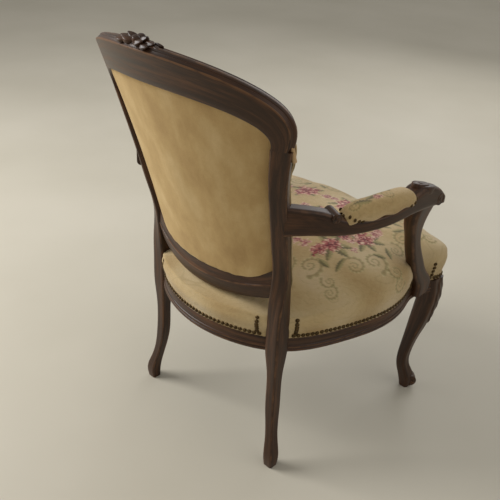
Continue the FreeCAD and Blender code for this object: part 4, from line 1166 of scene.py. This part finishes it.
seat = {
    "foot": 335.4, "edge": 405.0, "crown": 455.0, "dip": 34.0, "dipReach": 200.0,
    "half": 140, "pucker": 0.5, "uneven": 0.9, "recess": 6.0, "settleHalf": 24, "cap": 7.0,
    "nailRadius": 5.0, "nailPitch": 10.6, "columnFoot": 350.0,
    # middle, half width, half height, how many roses, seed; then the bouquet's middle, size, seed
    "wreath": (0, -80, 165, 125, 9, 5), "bouquet": (0, -80, 34, 8),
    # loops that close it underneath: inset, height, share drawn in to the middle
    "under": [(4.6, 335.6, 0), (4.9, 345, 0), (5.0, 377, 0), (5.2, 378, 0.04), (0, 378, 0.4),
              (0, 378, 0.9)],
    # beside each post and support's foot: node, places, nails in a column
    "columns": [("post_nails_", ((165, 268), (222, 198)), 6),
                ("support_nails_", ((286, -228), (288, -158)), 4)],
}
turns = np.radians(np.linspace(90, 0, 12))
seatProfile = np.array([(seat["crown"] + 0.3, 0, 0)] + [
    (seat["edge"] + (seat["crown"] - seat["edge"]) * math.sin(a), 0,
     1 - 0.9 * (1 - max(math.cos(a), 0) ** 0.9))
    for a in turns] + [(391, -3, 1), (370, -2, 1), (349, 2, 1), (seat["foot"], 2, 1)])
seatKnots = chords(seatProfile * [1, 1, plan["sideReach"]])
seatLength = seatKnots[-1]
seatKnots = seatKnots / seatLength
legShare, postShare = shareNear(282, -275), shareNear(204, 210)


def seatShape(rho, share):
    # level outlines up the wall and over the crown, with a dip to the back and a recess at each
    # arm support
    z, inset, r = np.moveaxis(splineThrough(seatKnots, seatProfile, rho), -1, 0)
    r = np.clip(r, 0, 1)
    wallShare = np.clip((z - seat["foot"]) / (seat["edge"] - seat["foot"]), 0, 1)
    place = (1 - rho) * seatLength
    pucker = seat["pucker"] * np.exp(-place / 12)
    pucker = pucker * np.cos(2 * math.pi * share * outlineAt[-1] / seat["nailPitch"])
    spot, inward = outline(share, inset + pucker * (r > 0.99), 1 - r)
    near = np.exp(-((spot[..., 1] - arm["supportY"]) / 30) ** 4) * (np.abs(spot[..., 0]) > 200)
    recess = seat["recess"] * near * np.exp(-(np.maximum(z - 380, 0) / 32) ** 2) * (r > 0.6)
    spot = spot + inward * recess[..., None]
    towardsBack = np.clip((np.hypot(spot[..., 1], 25) + spot[..., 1]) / 2 / seat["dipReach"], 0, 1)
    drop = seat["dip"] * np.sin(math.pi / 2 * towardsBack) * (
        0.6 * easeStep(wallShare) + 0.4 * easeStep((z - seat["edge"]) / 24))
    lump = seat["uneven"] * softNoise(spot, 150, 11) * easeStep(place / 60)
    return np.concatenate([spot, (z - drop + lump)[..., None]], -1)


def seatWall(share, z):
    # a place on the seat's wall at a height, and the direction square to it
    rho = np.interp(-z, -seatProfile[:, 0], seatKnots)
    below, above, after, before = (seatShape(rho + dr, share + ds) for dr, ds in
                                   ((1e-3, 0), (-1e-3, 0), (0, 2e-4), (0, -2e-4)))
    return seatShape(rho, share), unit(np.cross(after - before, above - below))


def makeSeat():
    # seatShape on a square ring grid, settled as a cloth and closed underneath
    rho, share = ringMap(seat["half"], legShare, postShare)
    grid = seatShape(rho, share)
    coarseRho, coarseShare = ringMap(seat["settleHalf"], legShare, postShare)
    held = np.round(easeStep((coarseRho - 0.74) / 0.14), 1)
    grid = grid + settleCloth(seatShape(coarseRho, coarseShare), held, 2.5, seat["cap"], 16, grid)
    # the map unrolls the crown and the wall over the plan, so that the design keeps its scale
    stretch = (rho * seatLength / plan["sideReach"])[..., None]
    uv = planMiddle + (outline(share)[0] - planMiddle) * stretch
    design = tapestryColours(uv, wreath(*seat["wreath"]) + bouquet(*seat["bouquet"]))
    loop = share.ravel()[rimIndices(seat["half"])]
    rows = []
    for inset, z, shrink in seat["under"]:
        spot = outline(loop, inset, shrink)[0]
        rows.append(np.concatenate([spot, np.full((len(loop), 1), float(z))], 1))
    piece = softPiece("tapestry_seat", grid, rows, uv, design, tapestry)
    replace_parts(piece, "seat_cover", "seat_stuffing")


makeSeat()
print("seat made")


# brass nails: low domes of a few faces, each a little out of line

def makeNails(name, nodes, spots, normals, radius=5.0, rise=3.2):
    # at each spot a dome turned about the line square to the cloth: radial * radius + normal * rise
    spots, normals = np.asarray(spots, float), unit(np.asarray(normals, float))
    random = np.random.default_rng(len(spots))
    normals = unit(normals + random.normal(0, 0.05, normals.shape))
    helper = np.where(np.abs(normals[:, 2:]) < 0.9, [[0, 0, 1.0]], [[1.0, 0, 0]])
    across = unit(np.cross(normals, helper))
    up = np.cross(normals, across)
    spots = spots + (across + up) * random.normal(0, 0.25, (len(spots), 1))
    turn = np.linspace(0, 2 * math.pi, 9, endpoint=False)
    profile = np.array([(0.96, -0.25), (1.0, 0.08), (0.86, 0.5), (0.5, 0.88), (0.12, 1.0)])
    cosine, sine = np.cos(turn)[:, None], np.sin(turn)[:, None]
    radial = across[:, None, None] * cosine + up[:, None, None] * sine
    points = (spots[:, None, None] + radial * (profile[:, 0] * radius)[:, None, None]
              + normals[:, None, None] * (profile[:, 1] * rise)[:, None, None])
    rings, cols = len(profile), len(turn)
    faces, _ = gridFaces(rings, cols, True)
    size = rings * cols
    one = faces.tolist() + [list(range(cols))[::-1], list(range(size - cols, size))]
    every = [[index + k * size for index in face] for k in range(len(spots)) for face in one]
    rubbed = random.uniform(0.2, 1.1, (len(spots), 1, 1))
    shine = np.clip(profile[:, 1] - 0.3, 0, 1)[:, None] * rubbed
    shine = np.broadcast_to(shine, points.shape[:3]).ravel()
    piece = makePiece(name, toFrame(points.reshape(-1, 3)), every, brass,
                      wear=shine, sharpAngle=70)
    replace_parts(piece, *nodes)


def makeSeatNails():
    # a row round the outline with gaps for the posts and supports, and columns beside these
    s = seat
    level = plan["showTop"] + s["nailRadius"] + 1.5
    count = int(outlineAt[-1] / s["nailPitch"])
    share = np.arange(count) / count
    spot, normal = seatWall(share, np.full(count, level))
    x, y = spot[:, 0], spot[:, 1]
    reach = plan["postSide"] / 2 + s["nailRadius"] + 1
    atPost = (np.abs(np.abs(x) - plan["postX"]) < reach) & (np.abs(y - plan["postY"]) < reach)
    reach = arm["support"][0][3] / 2 + s["nailRadius"] + 2
    atSupport = (np.abs(x) > arm["supportX"] / 2) & (np.abs(y - arm["supportY"]) < reach)
    free = ~atPost & ~atSupport
    rows = {"rear": free & (y > plan["postY"]), "front": free & (y < plan["kneeY"])}
    rows["left"] = free & ~rows["rear"] & ~rows["front"] & (x > 0)
    rows["right"] = free & ~rows["rear"] & ~rows["front"] & (x < 0)
    for word, row in rows.items():
        makeNails("seat_nail_row_" + word, ["seat_nails_" + word], spot[row], normal[row])
    # columns beside each rear post and round each support's foot
    for side, word in sides:
        for node, places, tall in s["columns"]:
            spots, normals = [], []
            for px, py in places:
                z = s["columnFoot"] + s["nailPitch"] * np.arange(tall)
                found, square = seatWall(np.full(tall, shareNear(px * side, py)) % 1, z)
                spots.append(found)
                normals.append(square)
            makeNails(node + "column_" + word, [node + word], np.concatenate(spots),
                      np.concatenate(normals))


makeSeatNails()
print("seat nails made")


# the upholstered back

backCloth = {
    "margin": 17.0, "foot": 418.0, "edge": 9.0, "crown": 34.0, "frame": 33.4, "layers": 41.1,
    "crownHalf": 240, "crownLow": 423, "crownHigh": 886, "middleZ": 655.0,
    "corners": (0.12, 0.38), "half": 105, "settleHalf": 22, "outsideHalf": 62,
    "wreath": (0, 668, 112, 118, 7, 15), "bouquet": (0, 668, 40, 18),
    # loops that close it behind: margin, mm in front of the rear face, share drawn in to the middle
    "behind": [(15.4, 33.4, 0), (15.2, 38.2, 0), (12, 38.2, 0), (0, 38.2, 0.4), (0, 38.2, 0.92)],
    "nails": 176, "nailsAt": 0.955,
    "outsideMargin": 6.0, "outsideFoot": 462.0, "outsideDepth": 8.0,
    "rebate": 14.0, "rebateReach": 24, "rebateTop": 862, "rebateFade": 90, "outsideThick": 0.0014,
}
backMiddle = np.array([0, backCloth["middleZ"]])


def backOutline(margin, bottom, share):
    # the opening's outline drawn out by a margin, from its foot's middle round to the sitter's left
    angle = np.radians(np.linspace(90, 0, archSteps))
    cosine, sine = np.clip(np.cos(angle), 0, 1), np.clip(np.sin(angle), 0, 1)
    power = 2 / back["openingPower"]
    half = [((back["half"] + margin) * c ** power,
             back["shoulder"] + (back["top"] + margin - back["shoulder"]) * s ** power)
            for c, s in zip(cosine, sine)]
    half += [(openingEdge(z) + margin, z) for z in
             (back["foot"] + part * (back["joint"] - back["foot"]) for part in (0.8, 0.45, 0.0))]
    corner = back["footHalf"] + margin
    half += [(0.94 * corner, bottom + 0.3 * (back["foot"] - bottom)), (0.7 * corner, bottom + 2),
             (0, bottom)]
    half = np.array(half)[::-1]
    points = np.concatenate([half, (half * [-1, 1])[-2::-1]])
    knots = chords(points)
    return splineThrough(knots, points, (np.asarray(share) % 1) * knots[-1], closed=True)


def backCrown(x, z):
    # fullness over the frame: most in the middle, falling off by the square across and up
    b = backCloth
    across = np.clip(1 - (x / b["crownHalf"]) ** 2, 0, 1)
    height = b["crownHigh"] - b["crownLow"]
    up = np.clip(1 - ((2 * z - b["crownLow"] - b["crownHigh"]) / height) ** 2, 0, 1)
    return b["edge"] + (b["crown"] - b["edge"]) * across * up


def insideBack(rho, share):
    # a crowned face over the stuffing that rolls over its edge to the frame within the last few mm
    b = backCloth
    rim = backOutline(b["margin"], b["foot"], share)
    flat = backMiddle + (rim - backMiddle) * rho[..., None]
    edge = (1 - rho) * np.hypot(*np.moveaxis(rim - backMiddle, -1, 0))
    roll = 0.25 * np.sqrt(1 - (1 - np.clip(edge / 6, 0, 1)) ** 2) + 0.75 * easeStep(edge / 38)
    lump = 0.9 * softNoise(flat, 130, 21) * easeStep(edge / 60)
    x, z = np.moveaxis(flat, -1, 0)
    depth = b["frame"] + (b["layers"] - b["frame"] + backCrown(x, z) + lump) * roll
    return np.stack([x, backY(x, z) - depth, z], -1)


def makeInsideBack():
    # insideBack on a square ring grid, settled as a cloth and closed behind, and its row of nails
    b = backCloth
    rho, share = ringMap(b["half"], *b["corners"])
    grid = insideBack(rho, share)
    coarseRho, coarseShare = ringMap(b["settleHalf"], *b["corners"])
    held = np.round(easeStep((coarseRho - 0.84) / 0.1), 1)
    grid = grid + settleCloth(insideBack(coarseRho, coarseShare), held, 2.0, 5.0, 16, grid)
    uv = grid[..., [0, 2]]
    design = tapestryColours(uv, wreath(*b["wreath"]) + bouquet(*b["bouquet"]), 6)
    loop = share.ravel()[rimIndices(b["half"])]
    rows = []
    for margin, depth, shrink in b["behind"]:
        rim = backOutline(margin, b["foot"] + b["margin"] - margin, loop)
        flat = backMiddle * shrink + rim * (1 - shrink)
        rows.append(np.stack([flat[:, 0], backY(flat[:, 0], flat[:, 1]) - depth, flat[:, 1]], 1))
    piece = softPiece("tapestry_inside_back", grid, rows, uv, design, tapestry)
    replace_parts(piece, "inside_back_cover", "back_stuffing")
    # nails round its edge
    loop = np.linspace(0, 1, b["nails"], endpoint=False)
    near = np.full(len(loop), b["nailsAt"])
    spots = insideBack(near, loop)
    normal = unit(np.cross(insideBack(near, loop + 1e-3) - insideBack(near, loop - 1e-3),
                           insideBack(near + 2e-3, loop) - insideBack(near - 2e-3, loop)))
    normal *= -np.sign(normal[:, 1:2])
    makeNails("inside_back_nail_row", ["inside_back_nails"], spots, normal)


makeInsideBack()


def thicken(piece, thickness):
    # a cloth's own thickness, half of it to each side
    solid = piece.modifiers.new("thickness", "SOLIDIFY")
    solid.thickness, solid.offset = thickness, 0


def makeOutsideBack():
    # velvet stretched over the hollow back, a little full in its middle, drawn in at its tacks
    b = backCloth
    rho, share = ringMap(b["outsideHalf"], *b["corners"])
    rim = backOutline(b["outsideMargin"], b["outsideFoot"], share)
    flat = backMiddle + (rim - backMiddle) * rho[..., None]
    pull = 0.35 * np.cos(2 * math.pi * share * 46) * np.exp(-(1 - rho) * 26)
    belly = 2.2 * (1 - rho ** 2) + 0.5 * softNoise(flat * [1, 0.4], 90, 31) * (1 - rho) + pull
    # at the stiles the cloth turns in to its tacks, deep in the rebate
    fromStile = openingEdge(flat[..., 1]) + b["outsideMargin"] - np.abs(flat[..., 0])
    below = easeStep((b["rebateTop"] - flat[..., 1]) / b["rebateFade"])
    belly = belly - b["rebate"] * np.exp(-np.clip(fromStile, 0, None) / b["rebateReach"]) * below
    depth = b["outsideDepth"] - belly
    grid = np.stack([flat[..., 0], backY(flat[..., 0], flat[..., 1]) - depth, flat[..., 1]], -1)
    piece = softPiece("velvet_outside_back", grid, [], flat, np.ones(grid.shape), velvet)
    thicken(piece, b["outsideThick"])
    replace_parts(piece, "outside_back_panel")


makeOutsideBack()


dustCover = {"inset": 9.0, "z": 295.4, "sag": 3.0, "half": 26, "thick": 0.0006}


def makeDustCover():
    # cambric tacked under the seat rails, sagging a little between them
    d = dustCover
    rho, share = ringMap(d["half"], legShare, postShare)
    spot = outline(share, d["inset"])[0]
    flat = planMiddle + (spot - planMiddle) * rho[..., None]
    z = d["z"] - d["sag"] * (1 - rho ** 2) + 0.5 * softNoise(flat, 120, 41) * (1 - rho)
    grid = np.concatenate([flat, z[..., None]], -1)
    piece = softPiece("cambric_dust_cover", grid, [], flat, np.ones(grid.shape), cambric)
    thicken(piece, d["thick"])
    loop = outline(np.linspace(0, 1, 400), d["inset"])[0]
    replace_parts(piece, "dust_cover")


makeDustCover()
print("back and dust cover made")


# arm pads

pad = {"rear": 160.0, "front": -23.0, "bottom": 620.0, "rise": 42.0, "width": 47.0, "wave": 2.4,
       "waveLength": 54.0,
       # share of the length, share of the rise, share of the width
       "profile": [(0, 0.3, 0.62), (0.04, 0.58, 0.82), (0.13, 0.86, 0.95), (0.35, 1, 1),
                   (0.65, 1, 1.02), (0.87, 0.9, 1), (0.96, 0.66, 0.86), (1, 0.34, 0.66)],
       # what is woven on it: kind, mm along, mm round, size, then width and turn, or turn and hand
       "motifs": [("leaf", 60, 34, 46, 18, 0.4), ("leaf", 72, 26, 44, 16, 2.9),
                  ("scroll", 118, 32, 20, 1.0, 1), ("scroll", 30, 30, 17, 2.0, -1),
                  ("blossom", 92, 34, 9, 1.0), ("leaf", 130, 40, 36, 15, 1.2)],
       "worn": [0.93, 0.88, 0.78],
       # share of the length and height of each nail at the ends
       "nails": [(0.015, 645), (0.045, 640), (0.09, 635), (0.14, 630), (0.19, 627.5), (0.86, 628),
                 (0.92, 631), (0.97, 637)],
       "nailRadius": 4.2, "nailRise": 2.6}


def padShape(share, turn, side):
    # flattened ovals along the arm, squarer below, whose lower edge rises and falls along the wood
    profile = np.array(pad["profile"])
    section = splineThrough(profile[:, 0], profile[:, 1:], np.clip(share, 0, 1))
    rise, wide = section[..., 0], section[..., 1]
    end = np.sqrt(np.clip(1 - (np.maximum(np.abs(share - 0.5) - 0.485, 0) / 0.03) ** 2, 0.002, 1))
    y = pad["rear"] + (pad["front"] - pad["rear"]) * share
    height, width = pad["rise"] * rise * end, pad["width"] * wide * end
    c, s = np.cos(turn), np.sin(turn)
    a = width / 2 * np.sign(c) * np.abs(c) ** (2 / 2.5)
    b = height / 2 * np.sign(s) * np.abs(s) ** np.where(s > 0, 2 / 2.2, 2 / 3.6)
    low = pad["bottom"] + pad["wave"] * np.cos(fullTurn * (y - 20) / pad["waveLength"]) * (s < 0.2)
    along = unit(np.stack([(armX(y + 1) - armX(y - 1)), 2 + 0 * y], -1))
    x = armX(y) + along[..., 1] * a
    lump = 0.5 * softNoise(np.stack([y + 0 * a, a], -1), 60, 51)
    z = low + height / 2 + b + lump * (s > 0)
    return np.stack([x * side, y - along[..., 0] * a, z], -1)


def makeArmPad(side, word):
    # padShape on a grid of rings along the arm, and the nails at its ends on the same shape
    share = np.concatenate([[-0.014], np.linspace(-0.01, 1.01, 120), [1.014]])[:, None]
    turn = np.linspace(0, 2 * math.pi, 72, endpoint=False)[None]
    share, turn = share + 0 * turn, turn + 0 * share
    grid = padShape(share, turn, side)
    piece = ringPiece("tapestry_arm_pad_" + word, grid, 0.0, tapestry,
                      lambda uv: tapestryColours(uv, pad["motifs"], 9).reshape(-1, 3) * pad["worn"],
                      sharpAngle=80)
    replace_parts(piece, "arm_pad_cover_" + word, "arm_pad_stuffing_" + word)
    # a few nails hold the cloth's corners at each end of the pad
    spots, normals = [], []
    for face in (1, -1):
        for shareAt, level in pad["nails"]:
            y = pad["rear"] + (pad["front"] - pad["rear"]) * shareAt
            around = np.linspace(-1.2, 1.4, 120)
            around = around if face > 0 else math.pi - around
            row = padShape(np.full(120, shareAt), around, side)
            k = np.argmin(np.abs(row[:, 2] - level))
            along = armSpot(y, level, side)[1]
            outwards = np.cross(along, [0, 0, 1]) * face * side
            endways = -0.5 if shareAt < 0.1 else 0.4 if shareAt > 0.9 else 0
            spots.append(row[k])
            normals.append(outwards + along * endways + [0, 0, 0.15])
    makeNails("arm_pad_nail_row_" + word, ["arm_pad_nails_" + word], spots, normals,
              pad["nailRadius"],
              pad["nailRise"])


for side, word in sides:
    makeArmPad(side, word)
print("arm pads made")


# the carved spray on the crest

spray = {
    "y": 405.0, "z": 930.0,
    # petals, reach, size (length, width, thickness), mm out
    "petals": [(6, 11, (21, 14, 9), 1), (5, 5, (14, 10, 9), 5)],
    # along the crest's face: x, z, length, slope
    "trailing": [(20, 2, 34, 0.15), (30, -14, 34, -0.45), (34, 8, 30, 0.2), (14, -20, 28, -1.0),
                 (46, -4, 28, -0.1)],
    # over its top edge: x, y, z, size, slope
    "full": [(9, 7, 15, (30, 19, 15), 0.25), (26, 9, 13, (30, 18, 13), 0.0),
             (42, 10, 10, (26, 14, 10), -0.14), (10, 20, 13, (26, 18, 13), 0.12),
             (27, 22, 11, (24, 15, 10), -0.05)],
}


def carvedLobes(name, lobes):
    # a bunch of closed ovals, each pinched to a point at one end and ribbed along its length
    turn = np.linspace(0, 2 * math.pi, 26, endpoint=False)[None]
    t = np.linspace(0.03, 0.97, 16)[:, None]
    every, faces, start, wear = [], [], 0, []
    for centre, along, upward, (length, width, thick), ribs in lobes:
        along = unit(np.array(along, float))
        upward = np.array(upward, float)
        upward = unit(upward - along * (upward @ along))
        across = np.cross(along, upward)
        girth = np.sin(math.pi * t) ** 0.7 * (1 - 0.25 * t)
        swell = 1 + 0.09 * np.cos(ribs * turn)
        curl = thick * 0.7 * (t - 0.35) ** 2
        points = (np.array(centre, float) + along * ((t - 0.3) * length + 0 * turn)[..., None]
                  + across * (girth * swell * width / 2 * np.cos(turn))[..., None]
                  + upward * (girth * swell * thick / 2 * np.sin(turn) + curl)[..., None])
        rows, cols = points.shape[:2]
        quads, _ = gridFaces(rows, cols, True)
        end = start + rows * cols
        faces += (quads + start).tolist()
        faces += [list(range(start, start + cols))[::-1], list(range(end - cols, end))]
        wear.append((np.clip(np.cos(ribs * turn), 0, 1) * 0.6 * np.sin(math.pi * t)).ravel())
        every.append(points.reshape(-1, 3))
        start = end
    points = np.concatenate(every)
    corner = np.concatenate([np.asarray(face) for face in faces])
    makePiece(name, toFrame(points), faces, wood, points[corner][:, [0, 2]],
              np.concatenate(wear), sharpAngle=70)


def makeSpray():
    # ovals set about the flower's heart: each has a place, a direction, an upward side, a size and
    # ribs
    face = np.array([0, spray["y"], spray["z"]])
    lobes = []
    # two rounds of petals about the heart of the flower, on the crest's face
    for count, reach, size, out in spray["petals"]:
        for k in range(count):
            a = 2 * math.pi * (k + 0.25 * out) / count
            outwards = np.array([math.cos(a), 0, math.sin(a)])
            lobes.append((face + outwards * reach * 0.5 + [0, -out, 0], outwards + [0, -0.25, 0],
                          (0, -1, 0.2), size, 3))
    lobes.append((face + [0, -9, 0], (0, -1, 0.1), (0, 0, 1), (7, 9, 9), 4))
    for side in (1, -1):
        # leaves trailing along the crest, then fuller ones that stand over its top edge and turn on
        # to its back
        for x, z, reach, slope in spray["trailing"]:
            lobes.append((face + [x * side, 1, z], (side, 0, slope), (0, -1, 0.1), (reach, 16, 9),
                          5))
        for x, y, z, size, slope in spray["full"]:
            lobes.append((face + [x * side, y, z], (side, 0.15, slope), (0, 0.25, 1), size, 5))
    for y, size in ((3, (20, 20, 17)), (15, (20, 19, 15))):
        lobes.append((face + [-5, y, 16], (1, 0, 0.1), (0, 0, 1), size, 5))
    carvedLobes("crest_carving", lobes)


makeSpray()
print("crest carved")


# what stays from the frame gets its real finish

joinery = plainMaterial("planed beech", "#b08d62", "#c6a67c", 26.0, 0.6, stretch=(1, 1, 0.2))
wire = plainMaterial("drawn steel", "#54544f", "#80807a", 160.0, 0.42, metallic=1.0)
jute = plainMaterial("woven jute", "#8d7650", "#ab9468", 240.0, 0.9, bumpDistance=0.0008)
finishes = {
    "corner_blocks": joinery, "frame_dowels": joinery, "corner_block_screws": wire,
    "arm_support_screws": wire,
    "seat_springs": wire, "seat_webbing_front_to_back": jute, "seat_webbing_side_to_side": jute,
    "back_webbing": jute, "back_hessian": jute, "seat_hessian": jute,
}
for node, material in finishes.items():
    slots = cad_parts[node].material_slots
    for slot in slots:
        slot.material = material
    if not slots:
        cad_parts[node].data.materials.append(material)
print("inner pieces finished")
